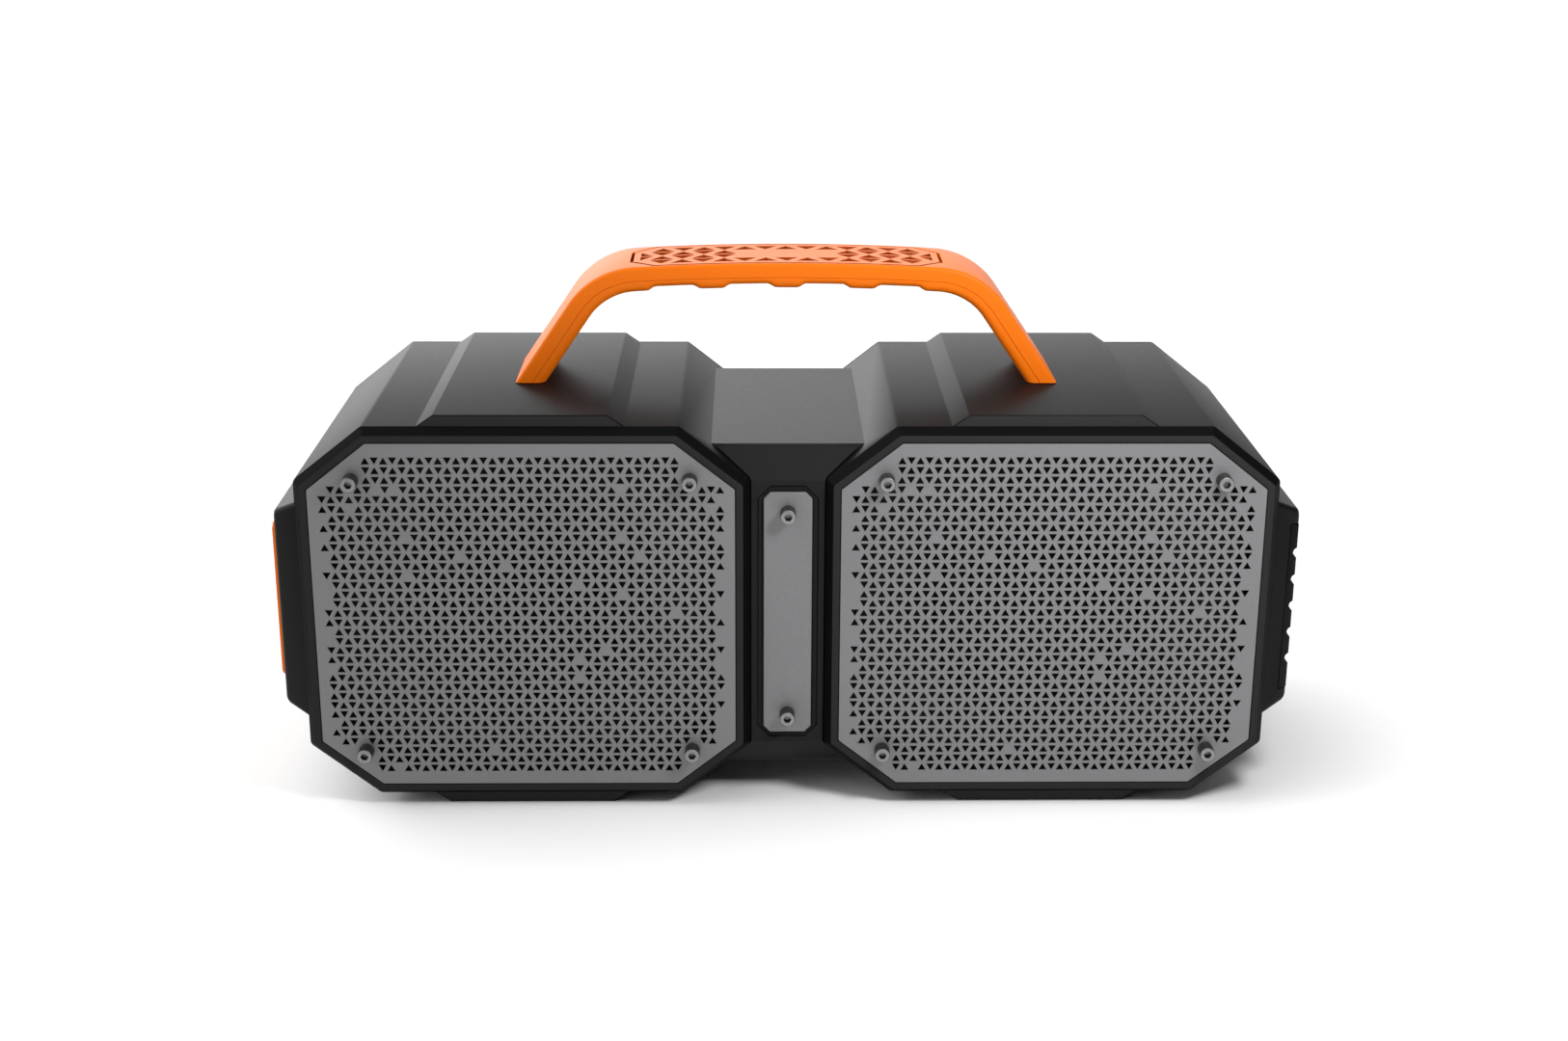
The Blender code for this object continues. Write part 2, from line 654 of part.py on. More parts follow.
def rear_cover():
    """Rear plate over both barrels and the centre, with screw seats and posts for the main board."""
    front = CABINET_BACK + GAP
    back = front + BEZEL_DEPTH
    strip = box(BARREL_X - RIB_BASE_HALF, PANEL_HALF_HEIGHT, 0.0, BARREL_Z)
    item = place("rear_cover", extruded("rear_cover", [strip], front, back, "Y"), BODY_BLACK)
    for name, side in SIDES.items():
        wide = moved(round_barrel(BEZEL_RIM), side * BARREL_X, BARREL_Z)
        narrow = moved(round_barrel(BEZEL_BAND), side * BARREL_X, BARREL_Z)
        mesh = lofted(f"rear_{name}", [(front, wide), (back, narrow)], "Y")
        join(item, place(f"rear_{name}", mesh))
    place_x, place_z = rear_screw_place()
    spots = [spot for side in SIDES.values() for spot in corner_points(place_x, place_z, side)]
    holes = [circle(REAR_SHANK_RADIUS + GAP, REAR_SCREW_STEPS, x, z) for _, x, z in spots]
    carve(item, "rear_cover_holes", holes, front - OVERCUT, back + OVERCUT, "Y")
    seats = [circle(REAR_HEAD_RADIUS + GAP, REAR_SCREW_STEPS, x, z) for _, x, z in spots]
    carve(item, "rear_cover_seats", seats, front + REAR_SEAT, back + OVERCUT, "Y")
    posts = [circle(STANDOFF_RADIUS, REAR_SCREW_STEPS, x, z) for x, z in standoff_places()]
    attach(item, "standoffs", posts, front - STANDOFF_LENGTH, front + GAP, "Y")
    return item


def standoff_places():
    """Places of the four posts that carry the main board."""
    half = box(MAIN_BOARD_WIDTH / 2 - STANDOFF_INSET, MAIN_BOARD_HEIGHT / 2 - STANDOFF_INSET)
    return moved(half, 0.0, BARREL_Z + MAIN_BOARD_LIFT)


def pan_screw(name, location, rotation):
    """Flat-headed screw: head up along its own Z axis, seat at its origin."""
    profile = [(0.0, REAR_HEAD_HEIGHT), (REAR_HEAD_RADIUS - REAR_HEAD_CROWN, REAR_HEAD_HEIGHT),
               (REAR_HEAD_RADIUS, REAR_HEAD_HEIGHT - REAR_HEAD_CROWN), (REAR_HEAD_RADIUS, 0.0),
               (REAR_SHANK_RADIUS, 0.0), (REAR_SHANK_RADIUS, -REAR_SHANK_LENGTH),
               (0.0, -REAR_SHANK_LENGTH)]
    return spin(place(name, turned(name, profile, REAR_SCREW_STEPS), SCREW_STEEL, location, rotation))


def rear_screws():
    """Eight screws that hold the rear cover to the cabinet's bosses."""
    seat = CABINET_BACK + GAP + REAR_SEAT + GAP
    for side_name, side in SIDES.items():
        for corner, x, z in corner_points(*rear_screw_place(), side):
            pan_screw(f"rear_screw_{side_name}_{corner}", (x, seat, z), FACING_BACK)


def bezel(name, side):
    """Octagonal ring around a grille, with a ledge for the plate and screw bosses."""
    centre = (side * BARREL_X, BARREL_Z)
    wide = moved(round_barrel(BEZEL_RIM), *centre)
    narrow = moved(round_barrel(BEZEL_BAND), *centre)
    back = FRONT_Y + BEZEL_DEPTH
    mesh = lofted(f"bezel_{name}", [(FRONT_Y, narrow), (back, wide)], "Y")
    item = place(f"bezel_{name}", mesh, TRIM_BLACK)
    ledge_y = FRONT_Y + PLATE_THICKNESS + GAP
    opening = moved(barrel_outline(-BEZEL_LEDGE), *centre)
    carve(item, f"bezel_hole_{name}", [opening], FRONT_Y - OVERCUT, back + OVERCUT, "Y")
    spots = list(corner_points(GRILLE_SCREW_X, GRILLE_SCREW_Z, side))
    bosses = [circle(BEZEL_BOSS_RADIUS, SCREW_STEPS, x, z) for _, x, z in spots]
    attach(item, f"bezel_boss_{name}", bosses, FRONT_Y + GAP, ledge_y + BEZEL_BOSS_LENGTH, "Y")
    seat = moved(barrel_outline(GAP), *centre)
    carve(item, f"bezel_seat_{name}", [seat], FRONT_Y - OVERCUT, ledge_y, "Y")
    holes = [circle(SCREW_SHANK_RADIUS + GAP, SCREW_STEPS, x, z) for _, x, z in spots]
    end = ledge_y + BEZEL_BOSS_LENGTH + OVERCUT
    carve(item, f"bezel_drill_{name}", holes, FRONT_Y - OVERCUT, end, "Y")
    return item


def inside_plate(across, up, margin):
    """Whether a point lies inside the grille plate by a margin."""
    half_x = PLATE_WIDTH / 2
    half_z = PLATE_HEIGHT / 2
    normal = Vector((PLATE_CHAMFER_Z, PLATE_CHAMFER_X)).normalized()
    corner = Vector((half_x - PLATE_CHAMFER_X, half_z)).dot(normal)
    point = Vector((abs(across), abs(up)))
    inside_box = point.x <= half_x - margin and point.y <= half_z - margin
    return inside_box and point.dot(normal) <= corner - margin


def grille_holes():
    """Rows of triangles, pointing up and down by turns, clear of the edge and the screws."""
    columns = int(PLATE_WIDTH / HOLE_PITCH) | 1
    rows = int(PLATE_HEIGHT / HOLE_ROW_PITCH) | 1
    height = HOLE_SIDE * math.sqrt(3) / 2
    screw = Vector((GRILLE_SCREW_X, GRILLE_SCREW_Z))
    holes = []
    for row in range(rows):
        for column in range(columns):
            across = (column - columns // 2) * HOLE_PITCH
            up = (row - rows // 2) * HOLE_ROW_PITCH
            point = 1 if (row + column) % 2 else -1
            flat = up - point * height / 2
            triangle = [(across - HOLE_SIDE / 2, flat), (across + HOLE_SIDE / 2, flat),
                        (across, up + point * height / 2)]
            fits = all(inside_plate(h, v, HOLE_MARGIN) for h, v in triangle)
            clear = (Vector((abs(across), abs(up))) - screw).length > HOLE_SCREW_CLEARANCE
            if fits and clear:
                holes.append(triangle)
    return holes


def grille(name, side):
    """Perforated metal plate in a bezel."""
    screws = [circle(SCREW_SHANK_RADIUS + GAP, SCREW_STEPS, h * GRILLE_SCREW_X, v * GRILLE_SCREW_Z)
              for h in (-1, 1) for v in (-1, 1)]
    outlines = [moved(outline, side * BARREL_X, BARREL_Z)
                for outline in (barrel_outline(0.0), *grille_holes(), *screws)]
    mesh = extruded(f"grille_{name}", outlines, FRONT_Y, FRONT_Y + PLATE_THICKNESS, "Y")
    return place(f"grille_{name}", mesh, GRILLE_GREY)


def cap_screw(name, location):
    """Socket-head screw facing the front, with its seat at its origin."""
    shoulder = SCREW_HEAD_HEIGHT - SCREW_HEAD_CHAMFER
    profile = [(0.0, SCREW_HEAD_HEIGHT), (SCREW_HEAD_RADIUS - SCREW_HEAD_CHAMFER, SCREW_HEAD_HEIGHT),
               (SCREW_HEAD_RADIUS, shoulder), (SCREW_HEAD_RADIUS, 0.0),
               (SCREW_SHANK_RADIUS, 0.0), (SCREW_SHANK_RADIUS, -SCREW_SHANK_LENGTH),
               (0.0, -SCREW_SHANK_LENGTH)]
    item = spin(place(name, turned(name, profile, SCREW_STEPS), SCREW_STEEL, location, FACING_FRONT))
    x, y, z = location
    key = circle(SCREW_SOCKET_RADIUS, 6, x, z)
    top = y - SCREW_HEAD_HEIGHT
    socket = extruded(f"socket_{name}", [key], top - OVERCUT, top + SCREW_SOCKET_DEPTH, "Y")
    return cut(item, place(f"socket_{name}", socket))


def grille_screws():
    """Four socket-head screws in the corners of each grille."""
    for side_name, side in SIDES.items():
        for corner, x, z in corner_points(GRILLE_SCREW_X, GRILLE_SCREW_Z, side):
            cap_screw(f"grille_screw_{side_name}_{corner}", (x, FRONT_Y - GAP, z))


def centre_panel():
    """Panel between the barrels, sloping back to the valley, with a recess for the trim plate."""
    front = CABINET_FRONT
    back = FRONT_Y + VALLEY_SETBACK - GAP
    profile = [(front, PANEL_HALF_HEIGHT), (front, -PANEL_HALF_HEIGHT),
               (back, -VALLEY_HALF_HEIGHT), (back, VALLEY_HALF_HEIGHT)]
    reach = BARREL_X - RIB_BASE_HALF
    mesh = extruded("centre_panel", [moved(profile, 0.0, BARREL_Z)], -reach, reach, "X")
    item = place("centre_panel", mesh, TRIM_BLACK)
    beside = both_barrels(round_barrel(BEZEL_RIM + GAP))
    carve(item, "panel_trim", beside, front - OVERCUT, back + OVERCUT, "Y")
    margin = CENTRE_RECESS_MARGIN
    recess = moved(octagon(CENTRE_PLATE_WIDTH / 2 + margin, CENTRE_PLATE_HEIGHT / 2 + margin,
                           CENTRE_PLATE_CHAMFER + margin, CENTRE_PLATE_CHAMFER + margin), 0.0, BARREL_Z)
    floor = front - CENTRE_PLATE_PROUD + CENTRE_PLATE_THICKNESS + GAP
    carve(item, "plate_recess", [recess], front - OVERCUT, floor, "Y")
    holes = [circle(SCREW_SHANK_RADIUS + GAP, SCREW_STEPS, 0.0, z) for z in centre_screw_heights()]
    carve(item, "panel_drill", holes, front - OVERCUT, back + OVERCUT, "Y")
    return item


def centre_screw_heights():
    """Heights of the two screws of the centre plate."""
    return [BARREL_Z + step * CENTRE_SCREW_SPACING / 2 for step in (1, -1)]


def centre_plate():
    """Metal trim plate between the grilles, and its two screws."""
    front = CABINET_FRONT - CENTRE_PLATE_PROUD
    outline = moved(octagon(CENTRE_PLATE_WIDTH / 2, CENTRE_PLATE_HEIGHT / 2,
                            CENTRE_PLATE_CHAMFER, CENTRE_PLATE_CHAMFER), 0.0, BARREL_Z)
    holes = [circle(SCREW_SHANK_RADIUS + GAP, SCREW_STEPS, 0.0, z) for z in centre_screw_heights()]
    mesh = extruded("centre_plate", [outline, *holes], front, front + CENTRE_PLATE_THICKNESS, "Y")
    place("centre_plate", mesh, GRILLE_GREY)
    for level, height in zip(LEVELS, centre_screw_heights()):
        cap_screw(f"plate_screw_{level}", (0.0, front - GAP, height))


def ring(name, label, profile, material, side):
    """Turned driver piece facing the front, with its origin on the baffle at the driver's axis."""
    mesh = turned(f"{label}_{name}", profile, DRIVER_STEPS, closed=profile[0][0] > 0)
    origin = (side * BARREL_X, BAFFLE_Y, BARREL_Z)
    return spin(place(f"{label}_{name}", mesh, material, origin, FACING_FRONT))


def driver(name, side):
    """One driver: frame, motor, cone with its cap, voice coil, surround and spider."""
    flange_top = GAP + DRIVER_FLANGE_THICKNESS
    neck = DRIVER_HOLE_RADIUS - GAP
    seat_radius = COIL_SLOT_RADIUS + GAP
    basket_foot = MOTOR_RADIUS - MOTOR_BEVEL
    throat = -WALL - GAP
    seat_top = BASKET_WALL - BASKET_DEPTH
    frame = [(DRIVER_FLANGE_RADIUS, flange_top), (DRIVER_FLANGE_RADIUS, GAP), (neck, GAP),
             (neck, throat), (basket_foot, -BASKET_DEPTH), (seat_radius, -BASKET_DEPTH),
             (seat_radius, seat_top), (basket_foot - BASKET_WALL, seat_top),
             (neck - BASKET_WALL, throat), (neck - BASKET_WALL, flange_top)]
    ring(name, "driver_frame", frame, DARK_STEEL, side)
    top = -BASKET_DEPTH - GAP
    bottom = top - MOTOR_LENGTH
    motor = [(0.0, top), (POLE_RADIUS, top), (POLE_RADIUS, top - COIL_SLOT_DEPTH),
             (COIL_SLOT_RADIUS, top - COIL_SLOT_DEPTH), (COIL_SLOT_RADIUS, top), (MOTOR_RADIUS, top),
             (MOTOR_RADIUS, bottom + MOTOR_BEVEL), (MOTOR_RADIUS - MOTOR_BEVEL, bottom), (0.0, bottom)]
    ring(name, "driver_motor", motor, DARK_STEEL, side)
    lip = flange_top
    neck_height = lip - CONE_DEPTH
    dome_foot = COIL_RADIUS + CONE_WALL
    dome_top = neck_height + DOME_HEIGHT
    shoulder = dome_top - DOME_SHOULDER_DROP
    cone = [(0.0, dome_top), (DOME_SHOULDER_RADIUS, shoulder),
            (COIL_RADIUS, neck_height + CONE_WALL), (CONE_RADIUS - CONE_LIP, lip), (CONE_RADIUS, lip),
            (CONE_RADIUS, lip - CONE_WALL), (CONE_RADIUS - CONE_LIP + CONE_WALL, lip - CONE_WALL),
            (dome_foot, neck_height), (COIL_RADIUS - CONE_WALL, neck_height),
            (DOME_SHOULDER_RADIUS, shoulder - CONE_WALL), (0.0, dome_top - CONE_WALL)]
    ring(name, "cone", cone, PAPER, side)
    coil_top = neck_height - GAP
    coil_foot = top - COIL_REACH
    coil = [(COIL_RADIUS, coil_top), (COIL_RADIUS, coil_foot),
            (COIL_RADIUS - COIL_WALL, coil_foot), (COIL_RADIUS - COIL_WALL, coil_top)]
    ring(name, "voice_coil", coil, COPPER, side)
    ring(name, "surround", surround_profile(flange_top + GAP), RUBBER, side)
    ring(name, "spider", spider_profile(), PAPER, side)


def surround_profile(base):
    """Half-roll of rubber between the cone's lip and the frame's flange."""
    roll_out = DRIVER_HOLE_RADIUS - GAP - BASKET_WALL
    roll_in = CONE_RADIUS
    middle = (roll_out + roll_in) / 2
    half = (roll_out - roll_in) / 2
    outer = []
    inner = []
    under = half - ROLL_WALL
    for step in range(ROLL_STEPS + 1):
        angle = math.pi * step / ROLL_STEPS
        outer.append((middle + half * math.cos(angle), base + ROLL_WALL + ROLL_HEIGHT * math.sin(angle)))
        inner.append((middle + under * math.cos(angle), base + ROLL_HEIGHT * math.sin(angle)))
    rim = min(roll_out + SURROUND_RIM, DRIVER_FLANGE_RADIUS)
    top_side = [(roll_in - CONE_LIP, base + ROLL_WALL), *reversed(outer), (rim, base + ROLL_WALL)]
    low_side = [(rim, base), *inner, (roll_in - CONE_LIP, base)]
    return [*top_side, *low_side]


def spider_profile():
    """Corrugated disc between the voice coil and the frame's wall."""
    lean = (DRIVER_HOLE_RADIUS - MOTOR_RADIUS + MOTOR_BEVEL - GAP) / (BASKET_DEPTH - WALL - GAP)
    height = -SPIDER_DROP
    below_throat = SPIDER_DROP + SPIDER_HEIGHT - WALL - GAP
    outer = DRIVER_HOLE_RADIUS - BASKET_WALL - lean * below_throat - 2 * GAP
    inner = COIL_RADIUS + GAP
    upper = []
    for step in range(SPIDER_WAVES + 1):
        radius = inner + (outer - inner) * step / SPIDER_WAVES
        upper.append((radius, height + (SPIDER_HEIGHT if step % 2 else 0.0)))
    lower = [(radius, level - SPIDER_WALL) for radius, level in reversed(upper)]
    return [*upper, *lower]


def handle_line(depth):
    """Points of the handle's curve at a depth below its outer face, left foot to right foot."""
    rise = HANDLE_CROWN_RISE
    half = HANDLE_CROWN_HALF
    crown_radius = (half * half + rise * rise) / (2 * rise)
    crown_angle = math.asin(half / crown_radius)
    crown_centre = Vector((0.0, HANDLE_TOP - crown_radius))
    spoke = Vector((-math.sin(crown_angle), math.cos(crown_angle)))
    shoulder = crown_centre + spoke * (crown_radius - HANDLE_SHOULDER_RADIUS)
    left = []
    for step in range(HANDLE_ARC_STEPS + 1):
        angle = HANDLE_LEG_ANGLE + (crown_angle - HANDLE_LEG_ANGLE) * step / HANDLE_ARC_STEPS
        reach = HANDLE_SHOULDER_RADIUS - depth
        left.append(shoulder + Vector((-math.sin(angle), math.cos(angle))) * reach)
    drop = left[0].y - FOOT_Z
    foot = Vector((left[0].x - drop / math.tan(HANDLE_LEG_ANGLE), FOOT_Z))
    for step in range(1, HANDLE_CROWN_STEPS):
        angle = crown_angle * (1 - step / HANDLE_CROWN_STEPS)
        left.append(crown_centre + Vector((-math.sin(angle), math.cos(angle))) * (crown_radius - depth))
    points = [(foot.x, foot.y), *[(point.x, point.y) for point in left]]
    mirrored = [(-x, z) for x, z in reversed(points)]
    return [*points, (0.0, HANDLE_TOP - depth), *mirrored]


def crown_height(across):
    """Height of the handle's outer face at a distance from the middle."""
    half = HANDLE_CROWN_HALF
    rise = HANDLE_CROWN_RISE
    radius = (half * half + rise * rise) / (2 * rise)
    return HANDLE_TOP - radius + math.sqrt(radius * radius - across * across)


def handle_grip_line(depth):
    """Underside of the handle, left foot to right foot, with its finger valleys."""
    line = handle_line(depth)
    valley = FINGER_PITCH - FINGER_BUMP
    fingers = []
    for index in range(FINGER_COUNT):
        centre = (index - (FINGER_COUNT - 1) / 2) * FINGER_PITCH
        for step, lift in ((-valley / 2, 0), (FINGER_SLOPE - valley / 2, 1),
                           (valley / 2 - FINGER_SLOPE, 1), (valley / 2, 0)):
            across = centre + step
            fingers.append((across, crown_height(across) - depth + lift * FINGER_DEPTH))
    edge = abs(fingers[0][0])
    left = [point for point in line if point[0] < -edge]
    right = [point for point in line if point[0] > edge]
    return [*left, *fingers, *right]


def edge_sections(outer, inner):
    """Handle outlines across its depth, rounded towards both faces by the drop of the outer line."""
    half = HANDLE_DEPTH / 2
    sections = []
    for angle in (0.0, math.pi / 4, math.pi / 2):
        inset = HANDLE_EDGE * (1 - math.cos(angle))
        drop = HANDLE_EDGE_DROP * (1 - math.sin(angle))
        sections.append((half - inset, drop))
    near = [(MID_Y - place_y, drop) for place_y, drop in sections]
    far = [(MID_Y + place_y, drop) for place_y, drop in reversed(sections)]
    return [(where, [*outer(drop), *reversed(inner(drop))]) for where, drop in (*near, *far)]


def handle():
    """Carry handle: upper shell, lower grip with finger valleys, top pad and two screws."""
    shell_sections = edge_sections(handle_line, lambda drop: handle_line(HANDLE_SEAM - GAP / 2))
    shell = place("handle_shell", lofted("handle_shell", shell_sections, "Y"), ORANGE)
    grip_sections = edge_sections(lambda drop: handle_line(HANDLE_SEAM + GAP / 2),
                                  lambda drop: handle_grip_line(HANDLE_THICKNESS - drop))
    place("handle_grip", lofted("handle_grip", grip_sections, "Y"), ORANGE)
    outline = octagon(PAD_LENGTH / 2, PAD_WIDTH / 2, PAD_CHAMFER, PAD_CHAMFER)
    cell = octagon(PAD_LENGTH / 2 + PAD_GROOVE, PAD_WIDTH / 2 + PAD_GROOVE, PAD_CHAMFER, PAD_CHAMFER)
    for label, shape, low, high, material in (("pad_pocket", cell, PAD_THICKNESS + GAP, -OVERCUT, None),
                                              ("handle_pad", outline, PAD_THICKNESS, 0.0, ORANGE)):
        strip = [*handle_line(high)[1:-1], *reversed(handle_line(low)[1:-1])]
        mesh = extruded(label, [strip], MID_Y - PAD_WIDTH, MID_Y + PAD_WIDTH, "Y")
        item = place(label, mesh, material)
        plan = [moved(shape, 0.0, MID_Y)]
        tall = extruded(f"{label}_outline", plan, FOOT_Z, HANDLE_TOP + 2 * OVERCUT, "Z")
        cut(item, place(f"{label}_outline", tall), "INTERSECT")
        if material is None:
            cut(shell, item)
    holes = [circle(REAR_SHANK_RADIUS + GAP, REAR_SCREW_STEPS, side * handle_screw_x(), MID_Y)
             for side in SIDES.values()]
    carve(shell, "shell_drill", holes, FOOT_Z - OVERCUT, FOOT_Z + HANDLE_SCREW_BITE, "Z")
    seat = BARREL_Z + BARREL_HALF_HEIGHT - WALL - GAP
    for name, side in SIDES.items():
        handle_screw(f"handle_screw_{name}", (side * handle_screw_x(), MID_Y, seat))


def handle_screw(name, location):
    """Screw that comes up through the cabinet's top wall into a foot of the handle."""
    length = FOOT_Z + HANDLE_SCREW_BITE - GAP - location[2]
    profile = [(0.0, REAR_HEAD_HEIGHT), (REAR_HEAD_RADIUS, REAR_HEAD_HEIGHT), (REAR_HEAD_RADIUS, 0.0),
               (REAR_SHANK_RADIUS, 0.0), (REAR_SHANK_RADIUS, -length), (0.0, -length)]
    return spin(place(name, turned(name, profile, REAR_SCREW_STEPS), SCREW_STEEL, location, FACING_DOWN))


def key_panel():
    """Orange panel on the left boss, bevelled at its edge, with an opening for each key."""
    step = PANEL_OUTER_X - KEY_PANEL_BEVEL
    full = key_panel_outline(0.0)
    slim = key_panel_outline(-KEY_PANEL_BEVEL)
    sections = [(-PANEL_INNER_X, full), (-step, full), (-PANEL_OUTER_X, slim)]
    item = place("key_panel", lofted("key_panel", sections, "X"), ORANGE)
    openings = [key_outline(KEY_CLEARANCE, depth) for _, depth in key_centres()]
    cutter = extruded("key_openings", openings, -PANEL_INNER_X + OVERCUT, -PANEL_OUTER_X - OVERCUT, "X")
    return cut(item, place("key_openings", cutter))


def keys():
    """Five push keys, each with a flange that keeps it behind the panel."""
    top = PANEL_OUTER_X - KEY_SUNK
    for name, depth in key_centres():
        origin = (-top, depth, BARREL_Z)
        cap = moved(key_outline(0.0, 0.0), 0.0, -BARREL_Z)
        flange = moved(key_outline(KEY_FLANGE, 0.0), 0.0, -BARREL_Z)
        flange_out = top - FLANGE_OUTER_X
        mesh = extruded(f"key_{name}", [cap], 0.0, flange_out + KEY_FLANGE_THICKNESS / 2, "X")
        item = place(f"key_{name}", mesh, ORANGE, origin)
        back = extruded(f"flange_{name}", [flange], flange_out, flange_out + KEY_FLANGE_THICKNESS, "X")
        join(item, place(f"flange_{name}", back, None, origin))


def key_board():
    """Circuit board behind the keys, with a switch under each."""
    outline = box(*key_well_size(GAP), MID_Y, BARREL_Z)
    mesh = extruded("key_board", [outline], -BOARD_INNER_X, -BOARD_OUTER_X, "X")
    item = place("key_board", mesh, BOARD_GREEN)
    switches = [circle(SWITCH_RADIUS, SCREW_STEPS, depth, BARREL_Z) for _, depth in key_centres()]
    low = -BOARD_OUTER_X + BOARD_THICKNESS / 2
    return attach(item, "switches", switches, low, -SWITCH_TOP_X, "X")


def port_door():
    """Ribbed door on the right boss; it swings out on a pin at its rear edge."""
    radius = DOOR_THICKNESS / 2
    lean = POD_TAPER / POD_RISE * DOOR_THICKNESS
    front = MID_Y - POD_HALF_DEPTH - DOOR_AXIS_Y
    knuckle = []
    for step in range(DOOR_KNUCKLE_STEPS + 1):
        angle = math.pi * step / DOOR_KNUCKLE_STEPS
        knuckle.append((radius * math.cos(angle), radius * math.sin(angle)))
    outline = [*knuckle, (-radius, front - lean), (radius, front)]
    origin = (DOOR_AXIS_X, DOOR_AXIS_Y, BARREL_Z)
    mesh = extruded("port_door", [outline], -DOOR_HALF_HEIGHT, DOOR_HALF_HEIGHT, "Z")
    item = place("port_door", mesh, BODY_BLACK, origin)
    bore = circle(DOOR_PIN_RADIUS + DOOR_PIN_CLEARANCE, PIN_STEPS)
    reach = DOOR_HALF_HEIGHT + OVERCUT
    cut(item, place("door_bore", extruded("door_bore", [bore], -reach, reach, "Z"), None, origin))
    grooves = []
    for index in range(DOOR_GROOVES):
        height = (index - (DOOR_GROOVES - 1) / 2) * DOOR_GROOVE_PITCH
        half = DOOR_GROOVE_WIDTH / 2
        floor = radius - DOOR_GROOVE_DEPTH
        above = radius + OVERCUT
        grooves.append([(above, height - half), (above, height + half), (radius, height + half),
                        (floor, height + half / 2), (floor, height - half / 2), (radius, height - half)])
    ribs = extruded("door_grooves", grooves, front - OVERCUT, -DOOR_GROOVE_STOP, "Y")
    return cut(item, place("door_grooves", ribs, None, origin))


def door_pin():
    """Hinge pin of the port door, held in the boss above and below."""
    reach = DOOR_HALF_HEIGHT + DOOR_PIN_BITE
    outline = circle(DOOR_PIN_RADIUS, PIN_STEPS, DOOR_AXIS_X, DOOR_AXIS_Y)
    mesh = extruded("door_pin", [outline], BARREL_Z - reach, BARREL_Z + reach, "Z")
    return place("door_pin", mesh, SCREW_STEEL)


def port_depths():
    """Depths of the three sockets in the bay: audio, USB and charging."""
    return [BAY_Y + step * PORT_PITCH for step in (-1, 0, 1)]


def ports():
    """Port panel in the bay's floor and the three sockets behind it."""
    audio_y, usb_y, charge_y = port_depths()
    halves = {
        "audio_socket": (AUDIO_RADIUS, AUDIO_RADIUS, audio_y),
        "usb_socket": (USB_WIDTH / 2, USB_HEIGHT / 2, usb_y),
        "charge_socket": (CHARGE_RADIUS, CHARGE_RADIUS, charge_y),
    }
    shapes = {}
    for name, (half_across, half_up, depth) in halves.items():
        if half_across == half_up:
            shapes[name] = circle(half_across, SOCKET_STEPS, depth, BARREL_Z)
        else:
            shapes[name] = box(half_across, half_up, depth, BARREL_Z)
    outline = box(BAY_HALF_DEPTH + PORT_PANEL_LAP, BAY_HALF_HEIGHT + PORT_PANEL_LAP, BAY_Y, BARREL_Z)
    inner = PORT_PANEL_X - PORT_PANEL_THICKNESS
    panel = extruded("port_panel", [outline, *shapes.values()], inner, PORT_PANEL_X, "X")
    place("port_panel", panel, BODY_BLACK)
    mouth = inner - GAP
    foot = mouth - SOCKET_LENGTH
    for name, (half_across, half_up, depth) in halves.items():
        shell = box(half_across + SOCKET_WALL, half_up + SOCKET_WALL, depth, BARREL_Z)
        item = place(name, extruded(name, [shell], foot, mouth, "X"), SOCKET_METAL)
        carve(item, f"{name}_hollow", [shapes[name]], foot + SOCKET_WALL, mouth + OVERCUT, "X")


def main_board():
    """Amplifier and charging board on the rear cover's posts, with a heat sink."""
    back = CABINET_BACK + GAP - STANDOFF_LENGTH - GAP
    height = BARREL_Z + MAIN_BOARD_LIFT
    outline = box(MAIN_BOARD_WIDTH / 2, MAIN_BOARD_HEIGHT / 2, 0.0, height)
    mesh = extruded("main_board", [outline], back - BOARD_THICKNESS, back, "Y")
    item = place("main_board", mesh, BOARD_GREEN)
    sink = box(HEAT_SINK_SIZE / 2, HEAT_SINK_SIZE / 2, 0.0, height)
    top = back - BOARD_THICKNESS - HEAT_SINK_HEIGHT
    return attach(item, "heat_sink", [sink], top, back - BOARD_THICKNESS / 2, "Y")


def battery():
    """Rechargeable pack on the floor of the centre section, and the strap over it."""
    floor = BARREL_Z - VALLEY_HALF_HEIGHT + WALL + GAP
    middle = floor + BATTERY_HEIGHT / 2
    outline = rounded(box(BATTERY_WIDTH / 2, BATTERY_HEIGHT / 2), BATTERY_ROUND, 2 * CORNER_STEPS)
    front = FRONT_Y + BATTERY_BACK - BATTERY_LENGTH / 2
    pack = extruded("battery_pack", [moved(outline, 0.0, middle)], front, front + BATTERY_LENGTH, "Y")
    place("battery_pack", pack, CELL_WRAP)
    inner = BATTERY_WIDTH / 2 + GAP
    outer = inner + STRAP_THICKNESS
    low = floor
    high = floor + BATTERY_HEIGHT + GAP
    toe = outer + STRAP_FOOT
    half = [(toe, low), (toe, low + STRAP_THICKNESS), (outer, low + STRAP_THICKNESS),
            (outer, high + STRAP_THICKNESS)]
    under = [(inner, high), (inner, low)]
    band = [*half, *[(-h, v) for h, v in reversed(half)], *[(-h, v) for h, v in reversed(under)], *under]
    start = FRONT_Y + BATTERY_BACK - STRAP_WIDTH / 2
    place("battery_strap", extruded("battery_strap", [band], start, start + STRAP_WIDTH, "Y"), DARK_STEEL)


def main():
    """Build every piece of the loudspeaker."""
    cabinet()
    rear_cover()
    rear_screws()
    for name, side in SIDES.items():
        bezel(name, side)
        grille(name, side)
        driver(name, side)
    grille_screws()
    centre_panel()
    centre_plate()
    handle()
    key_panel()
    keys()
    key_board()
    port_door()
    door_pin()
    ports()
    main_board()
    battery()


main()
